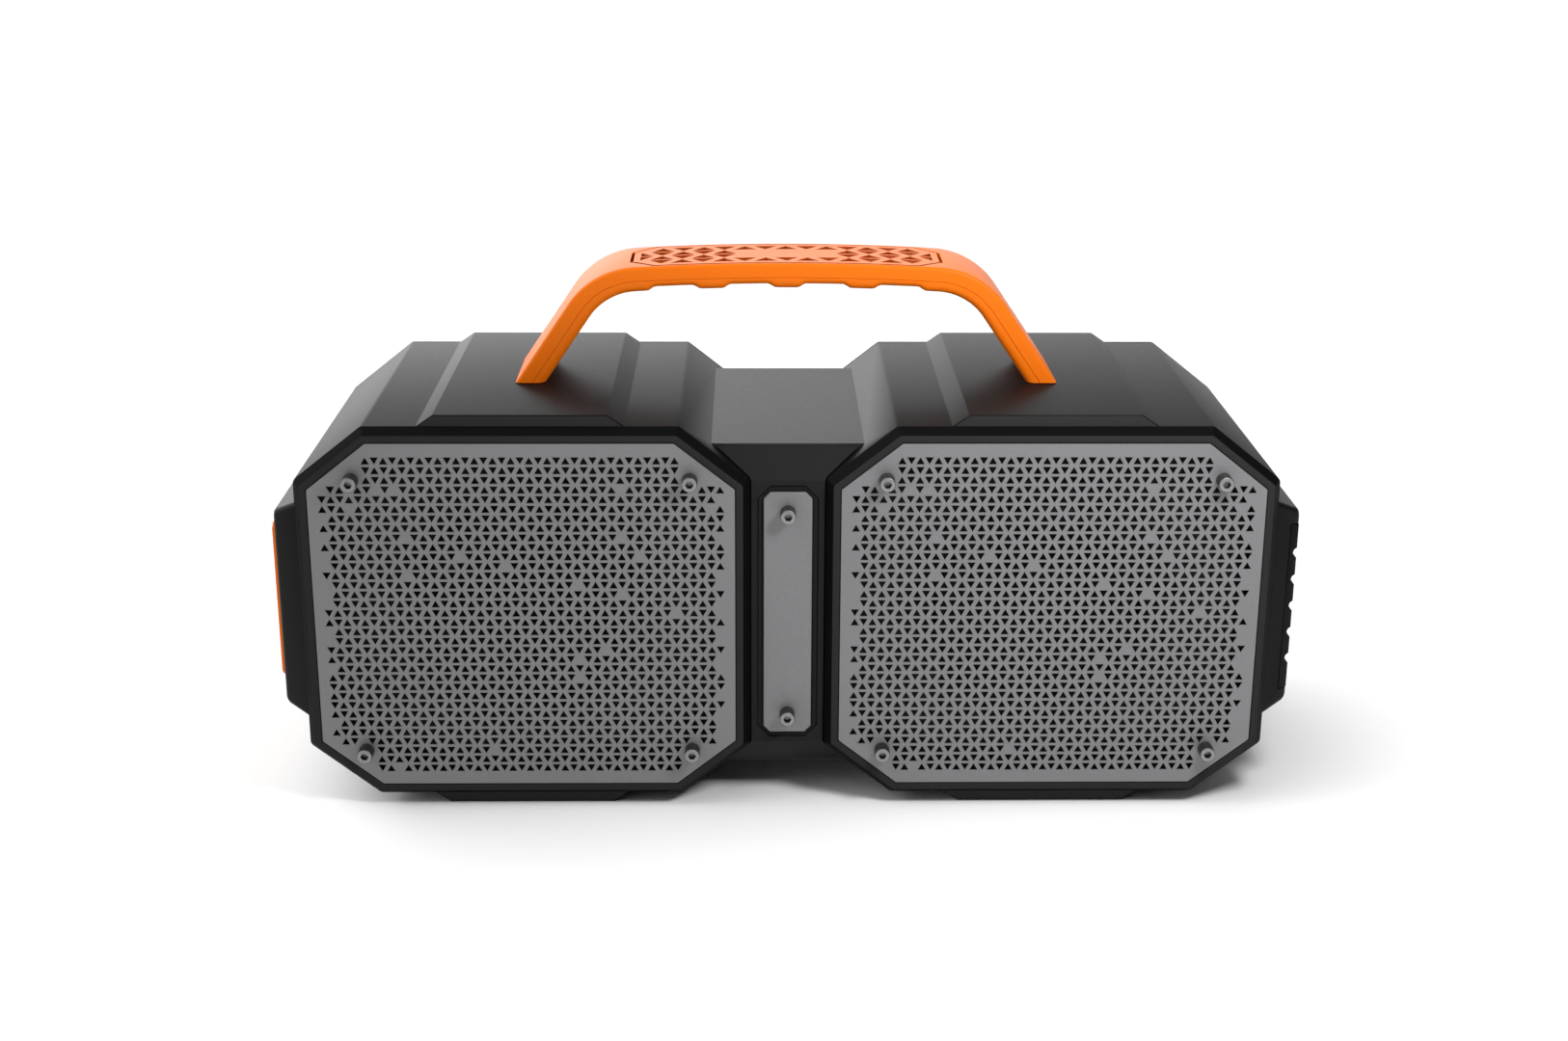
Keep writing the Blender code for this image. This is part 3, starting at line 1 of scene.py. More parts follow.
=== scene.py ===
"""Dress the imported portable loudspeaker: meshes, finishes, light and camera.

Lengths in the classes are in millimetres, in the frame of the CAD model: X runs to the right, the
grilles face -Y and the floor is at Z = 0. Meshes are made in metres.
"""
from __future__ import annotations

import logging
import math
from dataclasses import dataclass, field
from enum import Enum
from typing import Any, Mapping, Sequence, Union

import bmesh
import bpy
from mathutils import Matrix, Vector

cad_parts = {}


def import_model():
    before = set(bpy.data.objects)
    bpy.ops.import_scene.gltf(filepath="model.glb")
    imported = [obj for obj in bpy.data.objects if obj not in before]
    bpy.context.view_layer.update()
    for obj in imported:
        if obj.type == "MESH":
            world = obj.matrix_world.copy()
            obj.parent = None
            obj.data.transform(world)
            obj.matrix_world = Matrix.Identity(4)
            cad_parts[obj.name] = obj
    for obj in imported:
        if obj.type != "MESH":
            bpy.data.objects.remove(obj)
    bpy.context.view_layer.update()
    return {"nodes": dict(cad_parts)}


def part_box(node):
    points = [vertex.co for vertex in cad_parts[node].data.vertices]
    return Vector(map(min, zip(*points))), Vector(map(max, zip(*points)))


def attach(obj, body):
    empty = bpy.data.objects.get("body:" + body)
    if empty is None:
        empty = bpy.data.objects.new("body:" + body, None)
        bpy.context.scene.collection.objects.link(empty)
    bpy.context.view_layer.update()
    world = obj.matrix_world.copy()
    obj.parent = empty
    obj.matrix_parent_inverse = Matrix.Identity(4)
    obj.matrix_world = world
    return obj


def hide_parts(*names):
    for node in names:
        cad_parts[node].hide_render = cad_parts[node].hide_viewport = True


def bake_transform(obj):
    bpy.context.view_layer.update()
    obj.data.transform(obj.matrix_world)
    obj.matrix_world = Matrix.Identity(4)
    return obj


LOG = logging.getLogger("loudspeaker")
MM = 0.001
OVERCUT = 1.0
GAP = 0.3
# Share of a rounded edge's width at which its middle ring lies.
EDGE_BULGE = 0.3
# How much a cut corner grows with the outline that it is on.
CUT_GROWTH = 0.6
SOLVER = "MANIFOLD"

Outline = list[tuple[float, float]]
Layer = tuple[Outline, float]
Point = tuple[float, float, float]
Piece = bpy.types.Object
Value = Union["Wire", float, int, bool, tuple, Vector, bpy.types.ID, list]


class Axis(Enum):
    """Axis that an outline is drawn across."""

    X = "x"
    Y = "y"
    Z = "z"

    def point(self, across: float, up: float, along: float) -> Vector:
        """Place an outline's point in space.

        Args:
            across: First distance in the outline's plane.
            up: Second distance in the outline's plane.
            along: Distance along the axis.

        Returns:
            The point.
        """
        if self is Axis.X:
            return Vector((along, across, up))
        if self is Axis.Y:
            return Vector((across, along, up))
        return Vector((across, up, along))


class Cut(Enum):
    """How a tool changes a solid."""

    UNION = "UNION"
    DIFFERENCE = "DIFFERENCE"
    INTERSECT = "INTERSECT"


class Side(Enum):
    """Side of the loudspeaker, seen from the front."""

    LEFT = "left"
    RIGHT = "right"

    @property
    def sign(self) -> int:
        """Direction of the side along X."""
        return -1 if self is Side.LEFT else 1


class Wire:
    """A node's output socket with arithmetic: each operation adds one Math node."""

    def __init__(self, sheet: "Sheet", socket: bpy.types.NodeSocket) -> None:
        """Keep the socket and the sheet that it is on."""
        self.sheet = sheet
        self.socket = socket

    def maths(self, operation: str, *values: Value) -> "Wire":
        """Return a Math node's result on the given values, in their order."""
        return self.sheet.node("ShaderNodeMath", {"operation": operation}, dict(enumerate(values)))

    def __add__(self, other: Value) -> "Wire":
        """Add."""
        return self.maths("ADD", self, other)

    def __radd__(self, other: Value) -> "Wire":
        """Add to a value on the left."""
        return self.maths("ADD", other, self)

    def __sub__(self, other: Value) -> "Wire":
        """Subtract."""
        return self.maths("SUBTRACT", self, other)

    def __rsub__(self, other: Value) -> "Wire":
        """Subtract from a value on the left."""
        return self.maths("SUBTRACT", other, self)

    def __mul__(self, other: Value) -> "Wire":
        """Multiply."""
        return self.maths("MULTIPLY", self, other)

    def __rmul__(self, other: Value) -> "Wire":
        """Multiply a value on the left."""
        return self.maths("MULTIPLY", other, self)

    def __truediv__(self, other: Value) -> "Wire":
        """Divide."""
        return self.maths("DIVIDE", self, other)

    def __rtruediv__(self, other: Value) -> "Wire":
        """Divide a value on the left."""
        return self.maths("DIVIDE", other, self)

    def __mod__(self, other: Value) -> "Wire":
        """Remainder that is never negative."""
        return self.maths("FLOORED_MODULO", self, other)

    def __rmod__(self, other: Value) -> "Wire":
        """Remainder of a value on the left."""
        return self.maths("FLOORED_MODULO", other, self)

    def __lt__(self, other: Value) -> "Wire":
        """One where this is less, zero elsewhere."""
        return self.maths("LESS_THAN", self, other)

    def __gt__(self, other: Value) -> "Wire":
        """One where this is greater, zero elsewhere."""
        return self.maths("GREATER_THAN", self, other)

    def __abs__(self) -> "Wire":
        """Size without its sign."""
        return self.maths("ABSOLUTE", self)

    def __floor__(self) -> "Wire":
        """Whole number at or below this."""
        return self.maths("FLOOR", self)


class Sheet:
    """Node tree with one way to add a node."""

    def __init__(self, tree: bpy.types.NodeTree) -> None:
        """Keep the tree."""
        self.tree = tree

    def node(self, kind: str, settings: Mapping[str, Any] | None = None,
             values: Mapping[str | int, Value] | None = None, output: str | int = 0) -> Wire:
        """Add a node, set it up and feed its sockets.

        Args:
            kind: Blender's name of the node's type.
            settings: Attributes of the node, set first.
            values: What each input socket gets, by name or place: a value, a wire or a list of wires.
            output: Which output to hand back.

        Returns:
            The chosen output.
        """
        made = self.tree.nodes.new(kind)
        for name, value in (settings or {}).items():
            setattr(made, name, value)
        for key, value in (values or {}).items():
            self.feed(made.inputs[key], value)
        return Wire(self, made.outputs[output])

    def dot(self, first: Value, second: Value) -> Wire:
        """Return the dot product of two vectors."""
        settings = {"operation": "DOT_PRODUCT"}
        return self.node("ShaderNodeVectorMath", settings, {0: first, 1: second}, "Value")

    def end(self, kind: str, label: str, wire: Wire) -> None:
        """Add the tree's last node and link the result to it."""
        self.feed(self.tree.nodes.new(kind).inputs[label], wire)

    def feed(self, socket: bpy.types.NodeSocket, value: Value) -> None:
        """Link or set an input socket.

        Args:
            socket: Input of a node.
            value: A wire or a list of wires that is linked to it, or a value that it is set to.
        """
        if isinstance(value, list):
            for each in value:
                self.feed(socket, each)
        elif isinstance(value, Wire):
            self.tree.links.new(value.socket, socket)
        else:
            socket.default_value = value


class Pattern(Enum):
    """Broad pattern that a finish carries over its grain."""

    PLAIN = "plain"
    BRUSHED = "brushed"
    # Paints light and shade: faces that point one way take the accent colour.
    FACED = "faced"
    FIBRE = "fibre"
    TRACKS = "tracks"
    WINDING = "winding"


@dataclass(frozen=True)
class Finish:
    """Surface of one real material, with its grain in millimetres, and with painted light and shade where
    its pattern goes by the direction a face points.
    """

    NOISE_MIDDLE = 0.5
    FINE_DETAIL = 3.0
    BROAD_DETAIL = 2.0
    BRUSH_STRETCH = (0.05, 1.0, 1.0)
    BRUSH_WEIGHT = 0.5
    FLECK_SCALE = 700.0
    FLECK_RADIUS = 0.22
    FLECK_WEIGHT = 0.6
    TRACK_SCALE = 160.0
    TRACK_WIDTH = 0.05
    WINDING_SCALE = 900.0
    WINDING_WEIGHT = 0.5
    # Places of the Mix node's colour sockets, which share their names with others.
    MIX_FACTOR = 0
    MIX_FIRST = 6
    MIX_SECOND = 7
    MIX_RESULT = 2

    name: str
    slot: str
    colour: tuple[float, float, float]
    roughness: float
    metallic: float = 0.0
    grain: float = 0.5
    grain_height: float = 0.02
    grain_shade: float = 0.10
    grain_gloss: float = 0.10
    cloud: float = 28.0
    cloud_shade: float = 0.06
    specular: float = 0.5
    pattern: Pattern = Pattern.PLAIN
    accent: tuple[float, float, float] = (0.0, 0.0, 0.0)
    # Direction, and least alignment with it, of the faces that take the accent colour as painted light or
    # shade.
    facing: tuple[float, float, float] = (0.0, -1.0, 0.0)
    squareness: float = 0.8

    def material(self) -> bpy.types.Material:
        """Return the finish's material, made on its first use."""
        known = bpy.data.materials.get(self.name)
        return known or self.make()

    def make(self) -> bpy.types.Material:
        """Build the material's nodes.

        Returns:
            A material whose colour, roughness and bump follow the grain.
        """
        material = bpy.data.materials.new(self.name)
        material.use_nodes = True
        material.node_tree.nodes.clear()
        sheet = Sheet(material.node_tree)
        place = sheet.node("ShaderNodeTexCoord", output="Object")
        fine = self.noise(sheet, place, self.grain, self.FINE_DETAIL)
        broad = self.noise(sheet, place, self.cloud, self.BROAD_DETAIL)
        speckle = fine - self.NOISE_MIDDLE
        drift = broad - self.NOISE_MIDDLE
        shade = 1.0 + speckle * (2 * self.grain_shade) + drift * (2 * self.cloud_shade)
        colour = sheet.node("ShaderNodeVectorMath", {"operation": "SCALE"},
                            {0: self.colour, "Scale": shade})
        height = fine
        mask = self.mask(sheet, place)
        if mask is not None:
            colour = sheet.node("ShaderNodeMix", {"data_type": "RGBA"}, {
                self.MIX_FACTOR: mask, self.MIX_FIRST: colour, self.MIX_SECOND: (*self.accent, 1.0)},
                self.MIX_RESULT)
            height = fine + mask
        rough = self.roughness + speckle * (2 * self.grain_gloss)
        bump = sheet.node("ShaderNodeBump", None, {"Height": height, "Distance": self.grain_height * MM})
        shader = sheet.node("ShaderNodeBsdfPrincipled", None, {
            "Base Color": colour, "Roughness": rough, "Metallic": self.metallic,
            "Specular IOR Level": self.specular, "Normal": bump})
        sheet.end("ShaderNodeOutputMaterial", "Surface", shader)
        return material

    @staticmethod
    def noise(sheet: Sheet, place: Wire, size: float, detail: float) -> Wire:
        """Return a noise whose patches have the given size."""
        return sheet.node("ShaderNodeTexNoise", None,
                          {"Vector": place, "Scale": 1 / (size * MM), "Detail": detail})

    def mask(self, sheet: Sheet, place: Wire) -> Wire | None:
        """Draw the finish's pattern.

        Args:
            sheet: Tree of the material.
            place: Object coordinates.

        Returns:
            Share of the accent colour at each place, or None for a plain finish.
        """
        if self.pattern is Pattern.BRUSHED:
            drawn = sheet.node("ShaderNodeMapping", None, {"Vector": place, "Scale": self.BRUSH_STRETCH})
            return self.BRUSH_WEIGHT * self.noise(sheet, drawn, self.grain, self.BROAD_DETAIL)
        if self.pattern is Pattern.FACED:
            # Painted light and shade: faces that point along the facing direction take the accent colour.
            normal = sheet.node("ShaderNodeTexCoord", output="Normal")
            return sheet.dot(normal, self.facing) > self.squareness
        if self.pattern is Pattern.FIBRE:
            fleck = sheet.node("ShaderNodeTexVoronoi", None, {"Vector": place, "Scale": self.FLECK_SCALE})
            return self.FLECK_WEIGHT * (fleck < self.FLECK_RADIUS)
        if self.pattern is Pattern.TRACKS:
            black, white = (0, 0, 0, 1), (1, 1, 1, 1)
            return sheet.node("ShaderNodeTexBrick", None, {
                "Vector": place, "Color1": black, "Color2": black, "Mortar": white,
                "Scale": self.TRACK_SCALE, "Mortar Size": self.TRACK_WIDTH}, "Fac")
        if self.pattern is Pattern.WINDING:
            wave = sheet.node("ShaderNodeTexWave", {"bands_direction": "Y"},
                              {"Vector": place, "Scale": self.WINDING_SCALE}, "Fac")
            return self.WINDING_WEIGHT * wave
        return None


# Painted light: faces that point to the front take the lighter accent colour.
BODY = Finish("textured_black_plastic_painted_front_light", "body_plastic", (0.0045, 0.0045, 0.0046), 0.40, specular=0.085,
              pattern=Pattern.FACED, accent=(0.022, 0.022, 0.0225), squareness=0.97)
TRIM = Finish("satin_black_plastic", "trim_plastic", (0.014, 0.014, 0.0143), 0.45, grain=0.35,
              specular=0.06)
# Painted light: faces that point to the front take the lighter accent colour, and the bevels keep the
# near-black base as painted shade.
BEZEL = Finish("black_plastic_painted_front_light", "trim_plastic", (0.003, 0.003, 0.0031), 0.5, grain=0.35,
               specular=0.03, pattern=Pattern.FACED, accent=(0.022, 0.022, 0.0224))
GRILLE = Finish("painted_grille_metal", "grille_metal", (0.18, 0.18, 0.185), 0.48, 0.3, grain=0.45,
                grain_height=0.012, grain_shade=0.28, cloud=60.0)
# Painted shade: the heads' sides and socket walls keep the dark base colour, and only faces that point to
# the front take the steel's lighter accent colour.
STEEL = Finish("steel_painted_side_shade", "screw_steel", (0.045, 0.045, 0.046), 0.42, 0.7, grain=0.3,
               grain_height=0.006, pattern=Pattern.FACED, accent=(0.25, 0.25, 0.255))
ORANGE = Finish("satin_orange_plastic", "orange_plastic", (0.76, 0.15, 0.004), 0.42, grain=0.45,
                grain_height=0.010, grain_shade=0.02, grain_gloss=0.06, cloud=45.0, cloud_shade=0.03,
                specular=0.11)
# Painted shade: only faces that point up take the orange colour, and the walls of the sunk triangles and
# the groove keep the darker base colour as painted shade.
PAD = Finish("orange_plastic_painted_pocket_shade", "orange_plastic", (0.30, 0.045, 0.002), 0.42, grain=0.45,
             grain_height=0.010, specular=0.11, pattern=Pattern.FACED, accent=ORANGE.colour,
             facing=(0.0, 0.0, 1.0))
RUBBER = Finish("butyl_rubber", "rubber", (0.006, 0.006, 0.006), 0.6, specular=0.2)
CONE = Finish("pressed_paper", "cone_paper", (0.008, 0.008, 0.0078), 0.8, pattern=Pattern.FIBRE,
              accent=(0.025, 0.024, 0.023), specular=0.2)
DRIVER = Finish("stamped_steel", "driver_steel", (0.035, 0.035, 0.037), 0.45, 0.6,
                pattern=Pattern.BRUSHED, accent=(0.02, 0.02, 0.021))
COPPER = Finish("wound_copper_wire", "copper_winding", (0.62, 0.26, 0.10), 0.36, 0.9,
                pattern=Pattern.WINDING, accent=(0.25, 0.09, 0.03))
BOARD = Finish("masked_circuit_board", "circuit_board", (0.020, 0.11, 0.045), 0.38,
               pattern=Pattern.TRACKS, accent=(0.05, 0.20, 0.08))
WRAP = Finish("heat_shrink_wrap", "battery_wrap", (0.03, 0.07, 0.20), 0.3, grain_height=0.005)
SOCKET = Finish("nickel_plate", "socket_metal", (0.55, 0.54, 0.52), 0.28, 1.0, grain=0.3,
                grain_height=0.004, grain_shade=0.05)


@dataclass(frozen=True)
class Span:
    """Box of a CAD node at rest, in millimetres."""

    low: Vector
    high: Vector

    @classmethod
    def of(cls, node: str) -> "Span":
        """Return the box of a node of the frame."""
        low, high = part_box(node)
        return cls(Vector(low) / MM, Vector(high) / MM)

    @property
    def centre(self) -> Vector:
        """Middle of the box."""
        return (self.low + self.high) / 2

    @property
    def half(self) -> Vector:
        """Half of the box's size."""
        return (self.high - self.low) / 2


def corner_nodes(label: str, side: Side) -> list[str]:
    """Return the names of the four CAD nodes at the corners of one side."""
    corners = [f"{level}_{edge}" for level in ("top", "bottom") for edge in ("inner", "outer")]
    return [f"{label}_{side.value}_{corner}" for corner in corners]


def octagon(half_across: float, half_up: float, cut_across: float, cut_up: float) -> Outline:
    """Draw a rectangle with cut corners.

    Args:
        half_across: Half of its width.
        half_up: Half of its height.
        cut_across: Width of each cut.
        cut_up: Height of each cut.

    Returns:
        The corners, counter-clockwise.
    """
    upper = [(half_across, half_up - cut_up), (half_across - cut_across, half_up),
             (cut_across - half_across, half_up), (-half_across, half_up - cut_up)]
    return upper + [(-across, -up) for across, up in upper]


def rectangle(half_across: float, half_up: float) -> Outline:
    """Return a rectangle, counter-clockwise."""
    right = [(half_across, -half_up), (half_across, half_up)]
    return right + [(-across, -up) for across, up in right]


def circle(radius: float, steps: int) -> Outline:
    """Return a circle as a regular outline."""
    turns = [math.tau * step / steps for step in range(steps)]
    return [(radius * math.cos(turn), radius * math.sin(turn)) for turn in turns]


def moved(outline: Outline, across: float, up: float) -> Outline:
    """Return an outline shifted in its plane."""
    return [(first + across, second + up) for first, second in outline]


def rounded(outline: Outline, radius: float | Sequence[float], steps: int = 5) -> Outline:
    """Round an outline's corners.

    Args:
        outline: Corners in order.
        radius: One radius for all corners, or one for each.
        steps: Edges on each rounded corner.

    Returns:
        The outline with an arc in place of each corner.
    """
    corners = [Vector(corner) for corner in outline]
    radii = list(radius) if isinstance(radius, Sequence) else [radius] * len(corners)
    points: Outline = []
    for index, here in enumerate(corners):
        before = (corners[index - 1] - here).normalized()
        after = (corners[(index + 1) % len(corners)] - here).normalized()
        half = before.angle(after) / 2
        reach = radii[index] / math.tan(half)
        centre = here + (before + after).normalized() * (radii[index] / math.sin(half))
        first = here + before * reach - centre
        last = here + after * reach - centre
        for step in range(steps + 1):
            spoke = first.lerp(last, step / steps).normalized() * radii[index]
            points.append(tuple(centre + spoke))
    return points


def grown(outline: Outline, distance: float) -> Outline:
    """Move a dense outline outwards along its normals.

    Args:
        outline: Points in order, counter-clockwise.
        distance: How far each point moves.

    Returns:
        The moved points.
    """
    points = [Vector(point) for point in outline]
    result: Outline = []
    for index, here in enumerate(points):
        along = (points[(index + 1) % len(points)] - points[index - 1]).normalized()
        result.append((here.x + along.y * distance, here.y - along.x * distance))
    return result


def as_object(name: str, sheet: bmesh.types.BMesh) -> Piece:
    """Turn a bmesh into an object of the scene.

    Args:
        name: Name of the object and its mesh.
        sheet: The bmesh, which is used up.

    Returns:
        The object.
    """
    mesh = bpy.data.meshes.new(name)
    sheet.to_mesh(mesh)
    sheet.free()
    item = bpy.data.objects.new(name, mesh)
    bpy.context.scene.collection.objects.link(item)
    return item


def loft(name: str, rings: Sequence[Sequence[Vector]], closed: bool = False) -> Piece:
    """Skin a row of rings with as many points each.

    Args:
        name: Name of the object.
        rings: Rings in order, in millimetres.
        closed: Join the last ring to the first instead of capping both ends.

    Returns:
        A closed solid.
    """
    sheet = bmesh.new()
    loops = [[sheet.verts.new(point * MM) for point in ring] for ring in rings]
    pairs = list(zip(loops, loops[1:]))
    if closed:
        pairs.append((loops[-1], loops[0]))
    for first, second in pairs:
        for index in range(len(first)):
            after = (index + 1) % len(first)
            sheet.faces.new((first[index], first[after], second[after], second[index]))
    if not closed:
        sheet.faces.new(loops[0][::-1])
        sheet.faces.new(loops[-1])
    bmesh.ops.recalc_face_normals(sheet, faces=sheet.faces)
    return as_object(name, sheet)


def stack(name: str, axis: Axis, layers: Sequence[Layer], closed: bool = False) -> Piece:
    """Skin a row of outlines, each at its place along an axis."""
    rings = [[axis.point(across, up, along) for across, up in outline] for outline, along in layers]
    return loft(name, rings, closed)


def prism(name: str, outline: Outline, axis: Axis, start: float, end: float) -> Piece:
    """Extrude an outline along an axis."""
    return stack(name, axis, [(outline, start), (outline, end)])


def bake(item: Piece) -> Piece:
    """Make an object's evaluated mesh its own and drop its modifiers.

    Args:
        item: Object with modifiers.

    Returns:
        The same object.
    """
    graph = bpy.context.evaluated_depsgraph_get()
    mesh = bpy.data.meshes.new_from_object(item.evaluated_get(graph))
    item.modifiers.clear()
    item.data = mesh
    return item


def combine(item: Piece, tool: Piece, how: Cut = Cut.DIFFERENCE) -> None:
    """Change a solid by a tool, which is used up.

    Args:
        item: Solid that is changed.
        tool: Closed solid.
        how: Kind of change.
    """
    modifier = item.modifiers.new("combine", "BOOLEAN")
    modifier.operation = how.value
    modifier.solver = SOLVER
    modifier.object = tool
    bake(item)
    bpy.data.objects.remove(tool)


def cut_out(item: Piece, outline: Outline, axis: Axis, start: float, end: float) -> None:
    """Cut an outline out of a solid between two places along an axis."""
    combine(item, prism("cutter", outline, axis, start, end))


def soften(item: Piece, width: float, angle: float, segments: int) -> None:
    """Round the sharp edges of a solid.

    Args:
        item: Solid with flat faces.
        width: Width of the rounding.
        angle: Least angle between faces, in degrees, that is rounded.
        segments: Faces on each rounding.
    """
    flat = math.radians(0.5)
    same_place = 1e-7
    sheet = bmesh.new()
    sheet.from_mesh(item.data)
    bmesh.ops.remove_doubles(sheet, verts=sheet.verts, dist=same_place)
    bmesh.ops.dissolve_limit(sheet, angle_limit=flat, verts=sheet.verts, edges=sheet.edges)
    sheet.to_mesh(item.data)
    sheet.free()
    modifier = item.modifiers.new("soften", "BEVEL")
    modifier.width = width * MM
    modifier.segments = segments
    modifier.limit_method = "ANGLE"
    modifier.angle_limit = math.radians(angle)
    bake(item)


def smooth(item: Piece, crease: float) -> Piece:
    """Shade an object smoothly.

    Args:
        item: Object with a mesh.
        crease: Angle between faces, in degrees, past which an edge stays sharp.

    Returns:
        The same object.
    """
    item.data.shade_smooth()
    item.data.set_sharp_from_angle(angle=math.radians(crease))
    return item


def coat(piece: Piece, finish: Finish, *nodes: str) -> Piece:
    """Finish a piece and hide the CAD nodes that it stands for.

    Args:
        piece: New piece.
        finish: Its material.
        nodes: CAD nodes that it replaces.

    Returns:
        The piece.
    """
    piece.data.materials.clear()
    piece.data.materials.append(finish.material())
    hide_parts(*nodes)
    return piece


def dress(piece: Piece, finish: Finish, body: str, *nodes: str) -> Piece:
    """Finish a piece and set it on a body of the frame."""
    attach(piece, body)
    return coat(piece, finish, *nodes)


class Recipe(Sheet):
    """Geometry Nodes tree with named inputs for its sizes."""

    SOCKETS = {int: "NodeSocketInt", float: "NodeSocketFloat", Piece: "NodeSocketObject"}
    # Share of a pitch that keeps a place off the border between two cells.
    CELL_GUARD = 0.25
    # Height between the middles of an upright and a hanging triangle of one row, in triangle sides.
    TRIANGLE_DROP = 0.5 / math.sqrt(3)
    # Places of the Random Value node's number sockets, which share their names with others.
    RANDOM_LOW = 2
    RANDOM_HIGH = 3
    RANDOM_RESULT = 1

    def __init__(self, name: str, sizes: Mapping[str, float | int | Piece]) -> None:
        """Start a tree.

        Args:
            name: Name of the tree.
            sizes: Value of each named input; lengths are in metres.
        """
        super().__init__(bpy.data.node_groups.new(name, "GeometryNodeTree"))
        self.sizes = dict(sizes)
        self.identifiers: dict[str, str] = {}
        interface = self.tree.interface
        interface.new_socket("Geometry", in_out="OUTPUT", socket_type="NodeSocketGeometry")
        interface.new_socket("Geometry", in_out="INPUT", socket_type="NodeSocketGeometry")
        for label, value in self.sizes.items():
            made = interface.new_socket(label, in_out="INPUT", socket_type=self.SOCKETS[type(value)])
            self.identifiers[label] = made.identifier
        self.entry = self.tree.nodes.new("NodeGroupInput")

    def size(self, label: str) -> Wire:
        """Return a named input."""
        return Wire(self, self.entry.outputs[label])

    def base(self) -> Wire:
        """Return the geometry that the tree works on."""
        return self.size("Geometry")

    def shape(self, label: str) -> Wire:
        """Return the geometry of an object that is a named input."""
        return self.node("GeometryNodeObjectInfo", None, {"Object": self.size(label)}, "Geometry")

    def vector(self, **parts: Value) -> Wire:
        """Return a vector with the given X, Y and Z."""
        return self.node("ShaderNodeCombineXYZ", None, parts)

    def realised(self, geometry: Wire) -> Wire:
        """Return instances as plain geometry."""
        return self.node("GeometryNodeRealizeInstances", None, {"Geometry": geometry})

    def boolean(self, how: Cut, meshes: Mapping[str, Value]) -> Wire:
        """Return solids that are joined, cut or crossed with each other."""
        settings = {"operation": how.value, "solver": SOLVER}
        return self.node("GeometryNodeMeshBoolean", settings, meshes, "Mesh")

    def close(self, geometry: Wire, finish: Finish) -> None:
        """End the tree with plain meshes in one finish."""
        done = {"Geometry": self.realised(geometry), "Material": finish.material()}
        self.end("NodeGroupOutput", "Geometry", self.node("GeometryNodeSetMaterial", None, done))

    def run(self, item: Piece) -> Piece:
        """Run the tree on an object.

        Args:
            item: Object whose mesh the tree works on.

        Returns:
            The same object with the result as its plain mesh.
        """
        modifier = item.modifiers.new(self.tree.name, "NODES")
        modifier.node_group = self.tree
        for label, value in self.sizes.items():
            modifier[self.identifiers[label]] = value
        return bake(item)

    def cell(self, distance: Wire, pitch: str) -> Wire:
        """Return the whole number of named pitches in a distance."""
        return math.floor(distance / self.size(pitch) + self.CELL_GUARD)

    def lattice(self) -> tuple[Wire, Wire, Wire, Wire]:
        """Lay out places for triangles that point up and down in turn.

        Returns:
            The points, their distance across, their distance up and the turn of each triangle.
        """
        width = (self.size("Columns") - 1) * self.size("Column pitch")
        height = (self.size("Rows") - 1) * self.size("Row pitch")
        grid = self.node("GeometryNodeMeshGrid", None, {
            "Size X": width, "Size Y": height,
            "Vertices X": self.size("Columns"), "Vertices Y": self.size("Rows")})
        across, up = self.place()
        upright = (self.cell(across, "Column pitch") + self.cell(up, "Row pitch")) % 2.0
        drop = self.size("Triangle side") * (0.5 - upright) * self.TRIANGLE_DROP
        points = self.node("GeometryNodeSetPosition", None, {
            "Geometry": grid, "Offset": self.vector(Y=drop)})
        turn = self.vector(Z=(upright - 0.5) * math.pi)
        return points, across, up, turn

    def place(self) -> tuple[Wire, Wire]:
        """Read the position field.

        Returns:
            The distance across and the distance up.
        """
        position = self.node("GeometryNodeInputPosition")
        parts = self.tree.nodes.new("ShaderNodeSeparateXYZ")
        self.feed(parts.inputs[0], position)
        return Wire(self, parts.outputs["X"]), Wire(self, parts.outputs["Y"])

    def chance(self, low: Value, high: Value, label: Value | None = None) -> Wire:
        """Draw random numbers with the tree's fixed seed.

        Args:
            low: Least number.
            high: Greatest number.
            label: What shares a number; each point has its own if there is no label.

        Returns:
            The numbers.
        """
        values: dict[str | int, Value] = {
            self.RANDOM_LOW: low, self.RANDOM_HIGH: high, "Seed": self.size("Seed")}
        if label is not None:
            values["ID"] = label
        return self.node("FunctionNodeRandomValue", {"data_type": "FLOAT"}, values, self.RANDOM_RESULT)


def scatter(name: str, template: Piece, places: Sequence[Vector], finish: Finish) -> Piece:
    """Repeat a template at many places, as one plain mesh.

    Args:
        name: Name of the new piece.
        template: Object that is repeated and then removed.
        places: Where it goes, in millimetres.
        finish: Material of the piece.

    Returns:
        The piece.
    """
    sheet = bmesh.new()
    for place in places:
        sheet.verts.new(place * MM)
    item = as_object(name, sheet)
    recipe = Recipe(f"{name}_places", {"Template": template})
    copies = recipe.node("GeometryNodeInstanceOnPoints", None, {
        "Points": recipe.base(), "Instance": recipe.shape("Template")})
    recipe.close(copies, finish)
    recipe.run(item)
    bpy.data.objects.remove(template)
    return item


